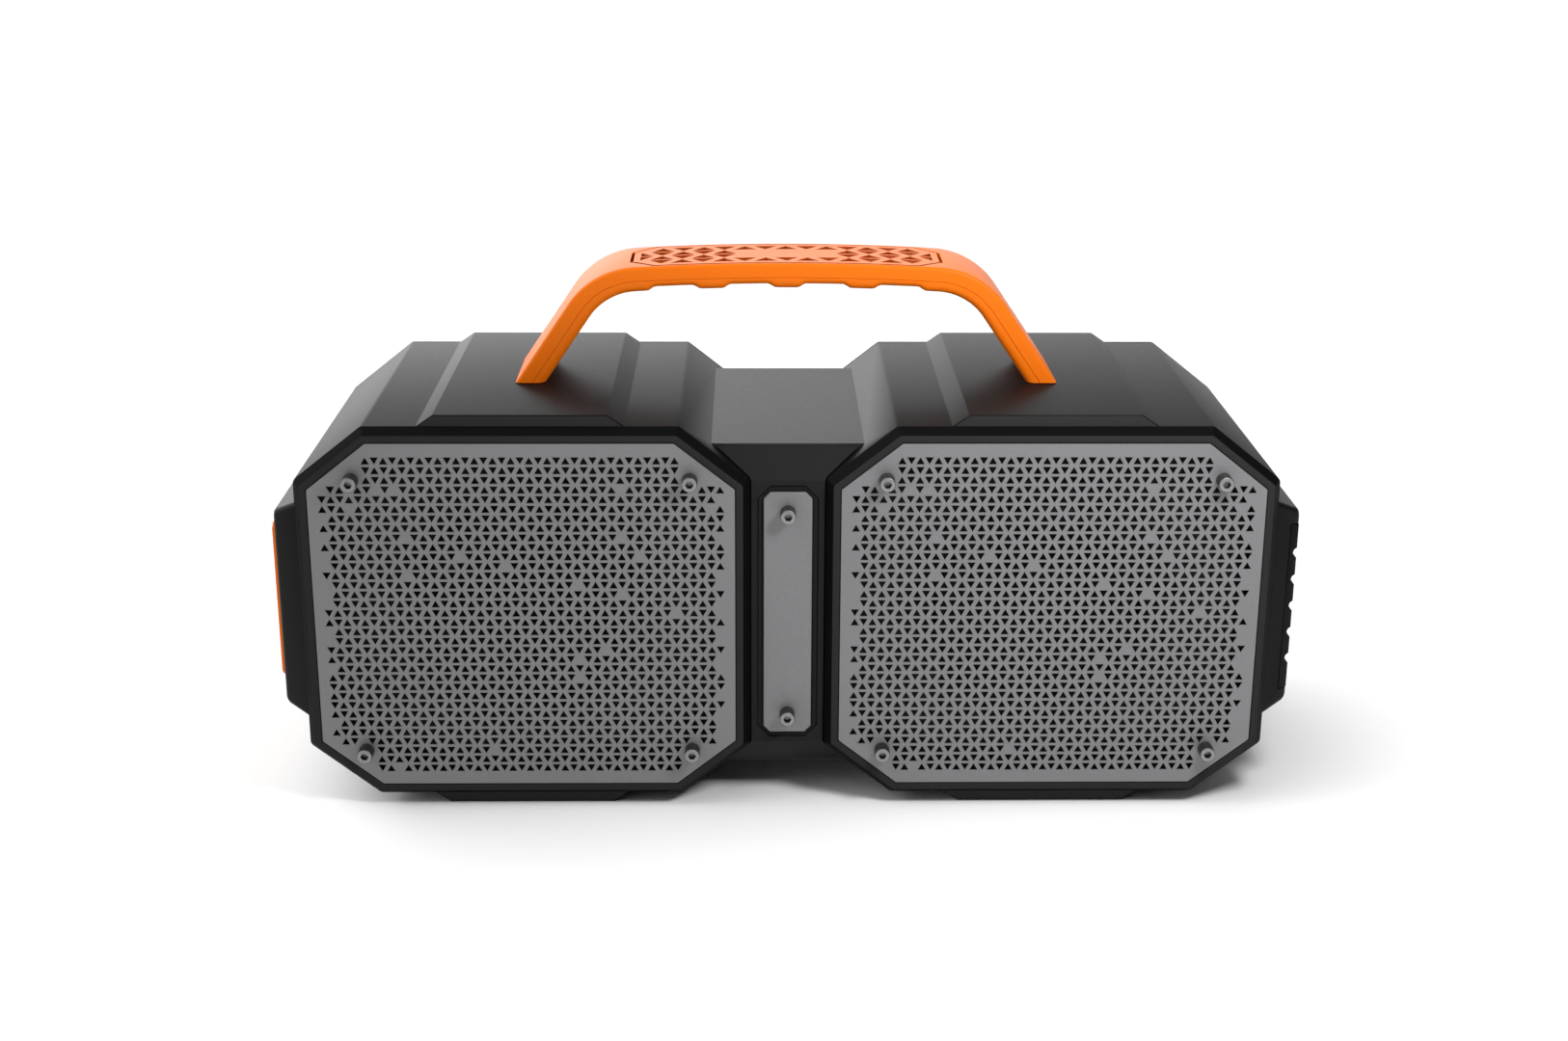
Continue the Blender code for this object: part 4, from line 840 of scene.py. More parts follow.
@dataclass
class CapScrew:
    """Head of a socket-head screw that faces the front."""

    radius: float = 2.98
    height: float = 6.1
    edge: float = 0.45
    edge_steps: int = 3
    socket_radius: float = 1.5
    socket_depth: float = 2.2
    socket_sides: int = 6
    mouth_depth: float = 0.2
    mouth_flare: float = 1.06
    side_steps: int = 5
    crease: float = 40.0

    def seat(self, span: Span) -> Vector:
        """Return where the head's underside sits in its CAD node's box."""
        return Vector((span.centre.x, span.low.y + self.height, span.centre.z))

    def socket(self) -> Outline:
        """Draw the socket with as many points as the head.

        Returns:
            A hexagon with points along its sides.
        """
        corners = circle(self.socket_radius, self.socket_sides)
        points: Outline = []
        for index, corner in enumerate(corners):
            after = corners[(index + 1) % self.socket_sides]
            for step in range(self.side_steps):
                part = step / self.side_steps
                across = corner[0] + (after[0] - corner[0]) * part
                points.append((across, corner[1] + (after[1] - corner[1]) * part))
        return points

    def template(self) -> Piece:
        """Build one head with its underside at the origin.

        Returns:
            A closed solid.
        """
        steps = self.socket_sides * self.side_steps
        socket = self.socket()
        mouth = [(across * self.mouth_flare, up * self.mouth_flare) for across, up in socket]
        top = self.height
        profile = [(socket, top - self.socket_depth), (socket, top - self.mouth_depth), (mouth, top)]
        for step in range(self.edge_steps + 1):
            angle = math.pi / 2 * step / self.edge_steps
            reach = self.radius - self.edge * (1 - math.sin(angle))
            profile.append((circle(reach, steps), top - self.edge * (1 - math.cos(angle))))
        profile.append((circle(self.radius, steps), 0.0))
        layers = [(outline, -height) for outline, height in profile]
        return smooth(stack("cap_screw", Axis.Y, layers), self.crease)


@dataclass
class PanScrew:
    """Pan head with a cross slot that faces the back."""

    # Share of the radius and of the height at each ring of the head.
    DOME = ((1.0, 0.0), (1.0, 0.45), (0.93, 0.75), (0.75, 0.93), (0.45, 1.0))

    radius: float = 3.2
    height: float = 2.2
    slot: float = 0.75
    slot_reach: float = 0.62
    slot_floor: float = 0.4
    steps: int = 24
    crease: float = 40.0

    def seat(self, span: Span) -> Vector:
        """Return where the head's underside sits in its CAD node's box."""
        return Vector((span.centre.x, span.high.y - self.height, span.centre.z))

    def template(self) -> Piece:
        """Build one head with its underside at the origin.

        Returns:
            A closed solid.
        """
        layers = [(circle(self.radius * wide, self.steps), self.height * high) for wide, high in self.DOME]
        head = stack("pan_screw", Axis.Y, layers)
        arm = self.radius * self.slot_reach
        half = self.slot / 2
        quarter = [(arm, -half), (arm, half), (half, half)]
        cross: Outline = []
        for _ in range(4):
            cross += quarter
            quarter = [(-up, across) for across, up in quarter]
        cut_out(head, cross, Axis.Y, self.height * self.slot_floor, self.height + OVERCUT)
        return smooth(head, self.crease)


def fit_screws(name: str, screw: CapScrew | PanScrew, nodes: Sequence[str]) -> Piece:
    """Build the screws of some CAD nodes as one piece.

    Args:
        name: Name of the piece.
        screw: Kind of screw.
        nodes: CAD nodes that the screws stand for.

    Returns:
        The piece.
    """
    places = [screw.seat(Span.of(node)) for node in nodes]
    piece = scatter(name, screw.template(), places, STEEL)
    return dress(piece, STEEL, "housing", *nodes)


@dataclass
class Barrel:
    """One octagonal barrel's front: bezel, perforated plate and screws."""

    # Added to the row numbers of the right half, so that both ends of a row are drawn apart.
    ROW_STRIDE = 200.0
    SAME_PLACE = 0.00001

    side: Side
    chamfer_across: float = 23.1
    chamfer_up: float = 18.3
    rim: float = 5.75
    bezel_depth: float = 4.2
    bezel_flange: float = 4.0
    bezel_crease: float = 28.0
    corner_steps: int = 6
    plate_corner: float = 0.9
    plate_corner_steps: int = 4
    plate_thickness: float = 0.45
    column_pitch: float = 3.45
    row_pitch: float = 3.86
    columns: int = 45
    rows: int = 34
    hole_side: float = 3.3
    border_across: float = 2.35
    border_up: float = 4.0
    border_cut: float = 3.2
    ragged: float = 6.6
    screw_clearance: float = 4.3
    corner_drop: float = 1.2
    missing: float = 0.011
    seed: int = 7
    plate: Span = field(init=False)

    def __post_init__(self) -> None:
        """Read the plate's place from the frame."""
        self.plate = Span.of(f"grille_{self.side.value}")

    def build(self) -> list[Piece]:
        """Build the whole front of the barrel."""
        return [self.bezel(), self.grille(), self.screws()]

    def outline(self, offset: float) -> Outline:
        """Draw the barrel's octagon about its axis.

        Args:
            offset: Distance outside the plate's edge.

        Returns:
            The corners, counter-clockwise.
        """
        slope = math.atan2(self.chamfer_up, self.chamfer_across)
        cut_across = self.chamfer_across + offset * (1 - math.tan(slope / 2))
        cut_up = self.chamfer_up + offset * (1 - math.tan((math.pi / 2 - slope) / 2))
        half = self.plate.half
        return octagon(half.x + offset, half.z + offset, cut_across, cut_up)

    def in_place(self, outline: Outline) -> Outline:
        """Return an outline shifted to the barrel's axis."""
        return moved(outline, self.plate.centre.x, self.plate.centre.z)

    def layer(self, offset: float, depth: float, radius: float) -> Layer:
        """Return a rounded octagon round the barrel's axis at a depth behind the front."""
        outline = rounded(self.outline(offset), radius, self.corner_steps)
        return self.in_place(outline), self.plate.low.y + depth

    def bezel(self) -> Piece:
        """Build the moulded frame that holds the plate.

        Returns:
            The dressed piece.
        """
        back = self.bezel_depth
        seat = self.plate.half.y * 2 + GAP
        # Each ring: distance outside the plate's edge, depth behind the front, corner radius.
        lip = [(0.3, seat, 0.8), (0.3, 0.35, 0.8), (0.42, 0.12, 0.9), (0.75, 0.0, 1.0)]
        band = [(2.75, 0.0, 1.6), (3.1, 0.1, 1.8), (3.35, 0.36, 2.0)]
        slope = [(5.4, 3.72, 2.8), (5.62, 3.98, 2.9), (self.rim, 4.1, 3.0), (self.rim, back, 3.0)]
        flange = [(-self.bezel_flange, back, 1.0), (-self.bezel_flange, seat, 1.0)]
        layers = [self.layer(*ring) for ring in (*lip, *band, *slope, *flange)]
        piece = stack(f"bezel_frame_{self.side.value}", Axis.Y, layers, closed=True)
        return dress(smooth(piece, self.bezel_crease), BEZEL, "housing", f"bezel_{self.side.value}")

    def grille(self) -> Piece:
        """Build the plate with its triangular holes by Geometry Nodes.

        Returns:
            The dressed piece.
        """
        recipe = self.plate_recipe()
        points, across, up, turn = recipe.lattice()
        keep = self.hole_mask(recipe, across, up)
        radius = recipe.size("Triangle side") / math.sqrt(3)
        hole = recipe.node("GeometryNodeCurvePrimitiveCircle", {"mode": "RADIUS"},
                           {"Resolution": 3, "Radius": radius})
        holes = recipe.node("GeometryNodeInstanceOnPoints", None, {
            "Points": points, "Selection": keep, "Instance": hole, "Rotation": turn})
        edge = recipe.node("GeometryNodeMeshToCurve", None, {"Mesh": recipe.base()})
        lines = recipe.node("GeometryNodeJoinGeometry", None, {"Geometry": [edge, recipe.realised(holes)]})
        front = recipe.node("GeometryNodeFillCurve", None, {"Curve": lines})
        back = recipe.node("GeometryNodeExtrudeMesh", None, {
            "Mesh": front, "Offset Scale": recipe.size("Thickness") * -1.0, "Individual": False})
        lid = recipe.node("GeometryNodeFlipFaces", None, {"Mesh": front})
        both = recipe.node("GeometryNodeJoinGeometry", None, {"Geometry": [back, lid]})
        merged = recipe.node("GeometryNodeMergeByDistance", None, {
            "Geometry": both, "Distance": self.SAME_PLACE})
        recipe.close(merged, GRILLE)
        piece = recipe.run(self.plate_edge())
        self.stand_up(piece)
        return dress(piece, GRILLE, "housing", f"grille_{self.side.value}")

    def plate_recipe(self) -> Recipe:
        """Start the tree of the plate.

        Returns:
            The tree with its named inputs.
        """
        half = self.plate.half
        screw = Span.of(self.screw_nodes()[0]).centre - self.plate.centre
        return Recipe(f"perforated_plate_{self.side.value}", {
            "Column pitch": self.column_pitch * MM,
            "Row pitch": self.row_pitch * MM,
            "Columns": self.columns,
            "Rows": self.rows,
            "Triangle side": self.hole_side * MM,
            "Half width": half.x * MM,
            "Half height": half.z * MM,
            "Cut width": self.chamfer_across * MM,
            "Cut height": self.chamfer_up * MM,
            "Border across": self.border_across * MM,
            "Border up": self.border_up * MM,
            "Border at cut": self.border_cut * MM,
            "Ragged": self.ragged * MM,
            "Screw across": abs(screw.x) * MM,
            "Screw up": abs(screw.z) * MM,
            "Screw clearance": self.screw_clearance * MM,
            "Corner drop": self.corner_drop * MM,
            "Missing share": self.missing,
            "Seed": self.seed,
            "Thickness": self.plate_thickness * MM})

    def hole_mask(self, recipe: Recipe, across: Wire, up: Wire) -> Wire:
        """Choose where a hole is punched: off the borders, screws and the odd blank.

        Args:
            recipe: Tree of the plate.
            across: Field of the distance from the plate's middle.
            up: Field of the height over the plate's middle.

        Returns:
            One where there is a hole.
        """
        far = abs(across)
        high = abs(up)
        row = recipe.cell(up, "Row pitch") + self.ROW_STRIDE * (across > 0.0)
        ragged = recipe.chance(recipe.size("Ragged") * -1.0, 0.0, row)
        in_width = far < recipe.size("Half width") - recipe.size("Border across") + ragged
        in_height = high < recipe.size("Half height") - recipe.size("Border up")
        reach = (far - recipe.size("Half width") + recipe.size("Cut width")) * recipe.size("Cut height")
        reach = reach + (high - recipe.size("Half height")) * recipe.size("Cut width")
        length = math.hypot(self.chamfer_across, self.chamfer_up) * MM
        off_cut = reach < recipe.size("Border at cut") * -length
        side = far - recipe.size("Screw across")
        rise = high - recipe.size("Screw up")
        clear = recipe.size("Screw clearance")
        off_screw = side * side + rise * rise > clear * clear
        off_corner = 1.0 - (side > clear * -1.0) * (rise > recipe.size("Corner drop") * -1.0)
        punched = recipe.chance(0.0, 1.0) > recipe.size("Missing share")
        return in_width * in_height * off_cut * off_corner * off_screw * punched

    def plate_edge(self) -> Piece:
        """Draw the plate's edge in the XY plane.

        Returns:
            A closed line.
        """
        sheet = bmesh.new()
        outline = rounded(self.outline(0.0), self.plate_corner, self.plate_corner_steps)
        verts = [sheet.verts.new((across * MM, up * MM, 0.0)) for across, up in outline]
        for index, vert in enumerate(verts):
            sheet.edges.new((vert, verts[(index + 1) % len(verts)]))
        return as_object(f"grille_plate_{self.side.value}", sheet)

    def stand_up(self, piece: Piece) -> None:
        """Turn a plate drawn in the XY plane to the front and recalculate its normals.

        Args:
            piece: The plate.
        """
        centre = self.plate.centre * MM
        place = Vector((centre.x, self.plate.low.y * MM, centre.z))
        piece.data.transform(Matrix.Translation(place) @ Matrix.Rotation(math.pi / 2, 4, "X"))
        sheet = bmesh.new()
        sheet.from_mesh(piece.data)
        bmesh.ops.recalc_face_normals(sheet, faces=sheet.faces)
        sheet.to_mesh(piece.data)
        sheet.free()

    def screw_nodes(self) -> list[str]:
        """Return the names of the plate's four screws in the frame."""
        return corner_nodes("grille_screw", self.side)

    def screws(self) -> Piece:
        """Build the plate's four cap screws."""
        return fit_screws(f"cap_screws_{self.side.value}", CapScrew(), self.screw_nodes())


@dataclass
class Cabinet:
    """Moulded housing: two ribbed barrels, the valley between them and the side bosses."""

    # How far each ring of a boss's edge lies below its face and inside its outline.
    POD_EDGE = ((1.4, 0.0), (0.5, 0.35), (0.12, 0.75), (0.0, 1.3))

    left: Barrel
    right: Barrel
    rib_base: float = 39.5
    rib_top: float = 33.1
    rib_height: float = 4.4
    corner: float = 3.0
    rib_corner: float = 1.1
    corner_steps: int = 5
    edge: float = 0.6
    crease: float = 24.0
    wall: float = 3.0
    front_wall: float = 4.0
    valley_drop: float = 9.5
    valley_setback: float = 13.7
    panel_half_height: float = 54.4
    baffle_setback: float = 14.0
    driver_hole: float = 47.2
    driver_hole_steps: int = 64
    pod_rise: float = 10.75
    pod_root: float = 1.5
    pod_half_depth: float = 60.1
    pod_half_height: float = 39.9
    pod_taper: float = 5.2
    pod_corner: float = 2.2
    key_pod_drop: float = 0.6
    door_gap: float = 0.2
    pocket_reach: float = 20.0
    bay_half_depth: float = 34.0
    bay_half_height: float = 22.0
    bay_corner: float = 3.0
    pin_gap: float = 0.25
    pin_steps: int = 16
    shell: Span = field(init=False)

    def __post_init__(self) -> None:
        """Read the housing's place from the frame."""
        self.shell = Span.of("cabinet")

    @property
    def barrels(self) -> tuple[Barrel, Barrel]:
        """Both barrels."""
        return self.left, self.right

    @property
    def inner_reach(self) -> float:
        """Distance from the middle to the inner foot of a rib."""
        return self.right.plate.centre.x - self.rib_base

    @property
    def barrel_half_height(self) -> float:
        """Half of a barrel's height without its ribs."""
        return self.left.outline(self.left.rim)[1][1]

    def build(self) -> list[Piece]:
        """Build the housing and cut its recesses, rooms and pockets.

        Returns:
            The dressed housing.
        """
        front = self.left.plate.low.y
        reach = self.inner_reach
        valley_front = front + self.valley_setback
        outline = self.centre(0.0, valley_front, self.shell.high.y)
        body = prism("moulded_housing", outline, Axis.X, -reach, reach)
        for part in self.barrels:
            combine(body, self.barrel(part), Cut.UNION)
            combine(body, self.pod(part.side), Cut.UNION)
        for part in self.barrels:
            self.hollow(body, part, front + self.baffle_setback)
        room = self.centre(self.wall, valley_front + self.wall, self.shell.high.y + OVERCUT)
        cut_out(body, room, Axis.X, -reach, reach)
        self.cut_key_seat(body)
        self.cut_door_pocket(body)
        return [dress(smooth(body, self.crease), BODY, "housing", "cabinet")]

    def ribbed_outline(self) -> Outline:
        """Draw a barrel with its upper and lower rib.

        Returns:
            The outline about the barrel's axis.
        """
        base = self.left.outline(self.left.rim)
        high = self.barrel_half_height
        rib = [(self.rib_base, high), (self.rib_top, high + self.rib_height),
               (-self.rib_top, high + self.rib_height), (-self.rib_base, high)]
        foot = [(-across, -up) for across, up in rib]
        corners = base[:2] + rib + base[2:6] + foot + base[6:]
        half = [self.corner] * 2 + [self.rib_corner] * 4 + [self.corner] * 2
        return rounded(corners, half * 2, self.corner_steps)

    def barrel(self, part: Barrel) -> Piece:
        """Build one ribbed barrel with softened ends.

        Args:
            part: Front of the barrel.

        Returns:
            A closed solid.
        """
        full = part.in_place(self.ribbed_outline())
        slim = grown(full, -self.edge)
        bulge = self.edge * EDGE_BULGE
        front, back = self.shell.low.y, self.shell.high.y
        layers = [(slim, front), (grown(full, -bulge), front + bulge), (full, front + self.edge),
                  (full, back - self.edge), (slim, back)]
        return stack(f"barrel_{part.side.value}", Axis.Y, layers)

    def pod(self, side: Side) -> Piece:
        """Build the sloping boss on one end of the housing.

        Args:
            side: Which end.

        Returns:
            A closed solid.
        """
        wall_x = self.shell.high.x - self.pod_rise
        top = self.pod_rise - (self.key_pod_drop if side is Side.LEFT else 0.0)
        edge = [(top - drop, inset) for drop, inset in self.POD_EDGE]
        layers = []
        for rise, inset in [(-self.pod_root, 0.0), *edge]:
            grow = self.pod_taper * (1 - rise / self.pod_rise) - inset
            outline = rectangle(self.pod_half_depth + grow, self.pod_half_height + grow)
            outline = rounded(outline, self.pod_corner, self.corner_steps)
            outline = moved(outline, self.shell.centre.y, self.left.plate.centre.z)
            layers.append((outline, side.sign * (wall_x + rise)))
        return stack(f"pod_{side.value}", Axis.X, layers)

    def centre(self, inset: float, front: float, back: float) -> Outline:
        """Draw the centre section in depth and height.

        Args:
            inset: Distance inside the outer faces.
            front: Where it starts.
            back: Where it ends.

        Returns:
            The outline.
        """
        high = self.barrel_half_height - self.valley_drop - inset
        low = self.panel_half_height - inset
        slope = self.valley_setback - self.left.bezel_depth - GAP
        bend = self.shell.high.y - inset
        upper = [(back, low), (bend, low), (self.shell.high.y - slope - inset, high), (front, high)]
        if back <= bend:
            upper = upper[1:]
        lower = [(depth, -up) for depth, up in reversed(upper)]
        return moved([*upper, *lower], 0.0, self.left.plate.centre.z)

    def hollow(self, body: Piece, part: Barrel, baffle: float) -> None:
        """Cut one barrel's rear room, front recess and driver hole.

        Args:
            body: The housing.
            part: Front of the barrel.
            baffle: Place of the wall that carries the driver.
        """
        room = part.in_place(part.outline(part.rim - self.wall))
        recess = part.in_place(part.outline(part.rim - self.front_wall))
        hole = part.in_place(circle(self.driver_hole, self.driver_hole_steps))
        behind = baffle + self.wall
        cut_out(body, room, Axis.Y, behind, self.shell.high.y + OVERCUT)
        cut_out(body, recess, Axis.Y, self.shell.low.y - OVERCUT, baffle)
        cut_out(body, hole, Axis.Y, baffle - OVERCUT, behind + OVERCUT)

    def cut_key_seat(self, body: Piece) -> None:
        """Cut the key panel's seat and the well of the board behind it.

        Args:
            body: The housing.
        """
        outside = -self.shell.high.x - OVERCUT
        panel = Span.of("key_panel")
        cut = KeyRow.cut + GAP / 2
        seat = octagon(panel.half.y + GAP, panel.half.z + GAP, cut, cut)
        seat = moved(seat, panel.centre.y, panel.centre.z)
        cut_out(body, seat, Axis.X, panel.high.x + GAP, outside)
        board = Span.of("key_board")
        well = rectangle(board.half.y + GAP, board.half.z + GAP)
        well = moved(well, board.centre.y, board.centre.z)
        cut_out(body, well, Axis.X, board.high.x + GAP, outside)

    def cut_door_pocket(self, body: Piece) -> None:
        """Cut the door's pocket, the socket bay and the bore of the hinge pin.

        Args:
            body: The housing.
        """
        outside = self.shell.high.x + OVERCUT
        door = Span.of("port_door")
        high = door.half.z + self.door_gap
        start, end = door.low.y - self.pocket_reach, door.high.y + GAP
        pocket = moved([(start, -high), (end, -high), (end, high), (start, high)], 0.0, door.centre.z)
        cut_out(body, pocket, Axis.X, door.low.x - self.door_gap, outside)
        bay = rounded(rectangle(self.bay_half_depth, self.bay_half_height), self.bay_corner)
        bay = moved(bay, Span.of("usb_socket").centre.y, door.centre.z)
        cut_out(body, bay, Axis.X, Span.of("port_panel").high.x - OVERCUT, outside)
        pin = Span.of("door_pin")
        bore = moved(circle(pin.half.x + self.pin_gap, self.pin_steps), pin.centre.x, pin.centre.y)
        cut_out(body, bore, Axis.Z, pin.low.z - GAP, pin.high.z + GAP)


@dataclass
class CentreTrim:
    """Panel between the barrels with its metal trim plate and two screws."""

    cabinet: Cabinet
    margin: float = 2.6
    plate_cut: float = 2.6
    plate_corner: float = 0.6
    plate_edge: float = 0.35
    plate_edge_bulge: float = 0.35
    recess_corner: float = 0.5
    small_corner_steps: int = 3
    front_corner: float = 0.8
    back_corner: float = 0.1
    corner_steps: int = 4
    barrel_gap: float = 0.55
    barrel_corner_steps: int = 6
    seam: float = 0.9
    crease: float = 24.0

    def build(self) -> list[Piece]:
        """Build panel, plate and screws."""
        return [self.panel(), self.trim_plate(), self.screws()]

    def plate_outline(self, grow: float, cut: float, radius: float) -> Outline:
        """Draw the plate's rounded octagon.

        Args:
            grow: Distance outside the plate's edge.
            cut: Size of the cut corners.
            radius: Rounding of the corners.

        Returns:
            The outline, in place.
        """
        plate = Span.of("centre_plate")
        outline = octagon(plate.half.x + grow, plate.half.z + grow, cut, cut)
        outline = rounded(outline, radius, self.small_corner_steps)
        return moved(outline, plate.centre.x, plate.centre.z)

    def panel(self) -> Piece:
        """Build the sloping panel with a stepped recess round the plate.

        Returns:
            The dressed piece.
        """
        span = Span.of("centre_panel")
        cabinet = self.cabinet
        half = cabinet.panel_half_height
        high = span.half.z - self.seam
        front, back = span.low.y, span.high.y
        radii = [self.front_corner, self.back_corner, self.back_corner, self.front_corner]
        corners = [(front, -half), (back, -high), (back, high), (front, half)]
        profile = moved(rounded(corners, radii, self.corner_steps), 0.0, span.centre.z)
        piece = prism("centre_front", profile, Axis.X, -cabinet.inner_reach, cabinet.inner_reach)
        for part in cabinet.barrels:
            beside = part.outline(part.rim + self.barrel_gap)
            beside = part.in_place(rounded(beside, cabinet.corner, self.barrel_corner_steps))
            cut_out(piece, beside, Axis.Y, front - OVERCUT, back + OVERCUT)
        # Each ring: distance outside the plate's edge, depth behind the panel's front.
        mouth = [(self.margin, -OVERCUT), (self.margin, 0.0)]
        groove = [(2.35, 0.75), (1.9, 0.75), (1.8, 0.15)]
        seat = [(0.4, 0.5), (0.4, 0.95)]
        layers = []
        for grow, depth in (*mouth, *groove, *seat):
            outline = self.plate_outline(grow, self.plate_cut + grow, self.recess_corner)
            layers.append((outline, front + depth))
        combine(piece, stack("recess", Axis.Y, layers))
        return dress(smooth(piece, self.crease), TRIM, "housing", "centre_panel")

    def trim_plate(self) -> Piece:
        """Build the metal plate with a bevelled edge.

        Returns:
            The dressed piece.
        """
        plate = Span.of("centre_plate")
        edge = self.plate_edge
        bulge = edge * self.plate_edge_bulge
        profile = [(0.0, plate.high.y), (0.0, plate.low.y + edge), (bulge, plate.low.y + bulge),
                   (edge, plate.low.y)]
        layers = []
        for inset, depth in profile:
            layers.append((self.plate_outline(-inset, self.plate_cut, self.plate_corner), depth))
        piece = smooth(stack("trim_plate", Axis.Y, layers), self.crease)
        return dress(piece, GRILLE, "housing", "centre_plate")

    def screws(self) -> Piece:
        """Build the plate's two cap screws."""
        return fit_screws("cap_screws_centre", CapScrew(), ["plate_screw_top", "plate_screw_bottom"])


@dataclass
class Handle:
    """Carry handle in two shells with a patterned pad on its crown."""

    thickness: float = 10.0
    seam: float = 5.6
    seam_gap: float = 0.1
    seam_lip: float = 0.12
    crown_half: float = 60.3
    crown_rise: float = 1.65
    shoulder_radius: float = 34.0
    leg_angle: float = math.radians(55.7)
    arc_steps: int = 20
    crown_steps: int = 48
    top_edge: float = 1.4
    low_edge: float = 3.0
    edge_steps: int = 6
    crease: float = 28.0
    finger_pitch: float = 29.7
    finger_bump: float = 8.4
    finger_depth: float = 1.6
    finger_lip: float = 0.7
    finger_slope: float = 3.4
    finger_count: int = 4
    pad_cut: float = 9.0
    pad_groove: float = 1.4
    pad_thickness: float = 2.8
    pad_crease: float = 12.0
    seat_overcut: float = 2.0
    strip_overhang: float = 8.0
    strip_half_depth: float = 40.0
    strip_steps: int = 40
    block_half_height: float = 20.0
    facet_width: float = 10.0
    facet_height: float = 7.0
    facet_rows: int = 4
    facet_columns: int = 15
    facet_pitch: float = 8.3
    facet_row_pitch: float = 7.75
    facet_depth: float = 2.0
    facet_proud: float = 0.3
    facet_draft: float = 0.7
    facet_border: float = 2.6
    bare_half: float = 21.0
    shell: Span = field(init=False)

    def __post_init__(self) -> None:
        """Read the handle's place from the frame."""
        self.shell = Span.of("handle_shell")

    @property
    def crown_radius(self) -> float:
        """Radius of the crown's arc."""
        return (self.crown_half ** 2 + self.crown_rise ** 2) / (2 * self.crown_rise)

    def build(self) -> list[Piece]:
        """Build both shells and the pad."""
        return [self.top_shell(), self.underside(), self.pad()]

    def line(self, depth: float) -> Outline:
        """Draw the handle's curve from its left foot to its right foot.

        Args:
            depth: Distance below the outer face.

        Returns:
            Points across and up.
        """
        top = self.shell.high.z
        foot_z = self.shell.low.z
        crown_angle = math.asin(self.crown_half / self.crown_radius)
        crown_centre = Vector((0.0, top - self.crown_radius))
        spoke = Vector((-math.sin(crown_angle), math.cos(crown_angle)))
        shoulder = crown_centre + spoke * (self.crown_radius - self.shoulder_radius)
        left = []
        for step in range(self.arc_steps + 1):
            angle = self.leg_angle + (crown_angle - self.leg_angle) * step / self.arc_steps
            spoke = Vector((-math.sin(angle), math.cos(angle)))
            left.append(shoulder + spoke * (self.shoulder_radius - depth))
        drop = left[0].y - foot_z
        foot = Vector((left[0].x - drop / math.tan(self.leg_angle), foot_z))
        knee = foot.lerp(left[0], 0.5)
        for step in range(1, self.crown_steps):
            angle = crown_angle * (1 - step / self.crown_steps)
            spoke = Vector((-math.sin(angle), math.cos(angle)))
            left.append(crown_centre + spoke * (self.crown_radius - depth))
        points = [tuple(point) for point in (foot, knee, *left)]
        mirrored = [(-across, up) for across, up in reversed(points)]
        return [*points, (0.0, top - depth), *mirrored]

    def lift(self, across: float) -> float:
        """Work out how far the underside rises at a finger valley.

        Args:
            across: Distance from the middle of the handle.

        Returns:
            The rise, with a soft slope at both ends of each valley.
        """
        valley = (self.finger_pitch - self.finger_bump) / 2
        last = (self.finger_count - 1) / 2
        index = round(across / self.finger_pitch - 0.5) + 0.5
        index = max(min(index, last), -last)
        distance = valley - abs(across - index * self.finger_pitch)
        part = min(max(distance / self.finger_slope, 0.0), 1.0)
        return self.finger_depth * part * part * (3 - 2 * part)

    def finger_share(self, part: float) -> float:
        """Return how much of a valley's rise is felt part of the way round the lower edge."""
        tolerance = 0.01
        return self.finger_lip + (1 - self.finger_lip) * part if part > -tolerance else 0.0

    def sweep(self, name: str, section: Sequence[Point]) -> Piece:
        """Sweep a cross-section along the handle.

        Args:
            name: Name of the object.
            section: Place across the handle, depth below its outer face and the share of the
                finger valleys' rise that the point follows, in order round the section.

        Returns:
            A closed solid.
        """
        middle = self.shell.centre.y
        lines = [self.line(depth) for _, depth, _ in section]
        rings = []
        for station in range(len(lines[0])):
            ring = []
            for (place, _, share), line in zip(section, lines):
                across, up = line[station]
                ring.append(Vector((across, middle + place, up + self.lift(across) * share)))
            rings.append(ring)
        return loft(name, rings)

    def arc(self, radius: float, corner: tuple[float, float], start: float) -> Outline:
        """Round a corner of the section.

        Args:
            radius: Radius of the rounding.
            corner: Its centre.
            start: Angle at which it starts.

        Returns:
            A quarter of a circle.
        """
        points = []
        for step in range(self.edge_steps + 1):
            angle = start + math.pi / 2 * step / self.edge_steps
            points.append((corner[0] + radius * math.cos(angle), corner[1] + radius * math.sin(angle)))
        return points

    def top_shell(self) -> Piece:
        """Build the upper shell with the pad's seat.

        Returns:
            The dressed piece.
        """
        half = self.shell.half.y
        edge, lip = self.top_edge, self.seam_lip
        seam = self.seam - self.seam_gap / 2
        section = [(-half, seam - lip), *self.arc(edge, (edge - half, edge), math.pi),
                   *self.arc(edge, (half - edge, edge), -math.pi / 2), (half, seam - lip),
                   (half - lip, seam), (lip - half, seam)]
        piece = self.sweep("handle_top", [(place, depth, 0.0) for place, depth in section])
        seat = self.crown_strip("seat", -self.seat_overcut, self.pad_thickness + GAP)
        combine(seat, self.pad_block(self.pad_groove), Cut.INTERSECT)
        combine(piece, seat)
        return dress(smooth(piece, self.crease), ORANGE, "housing", "handle_shell")

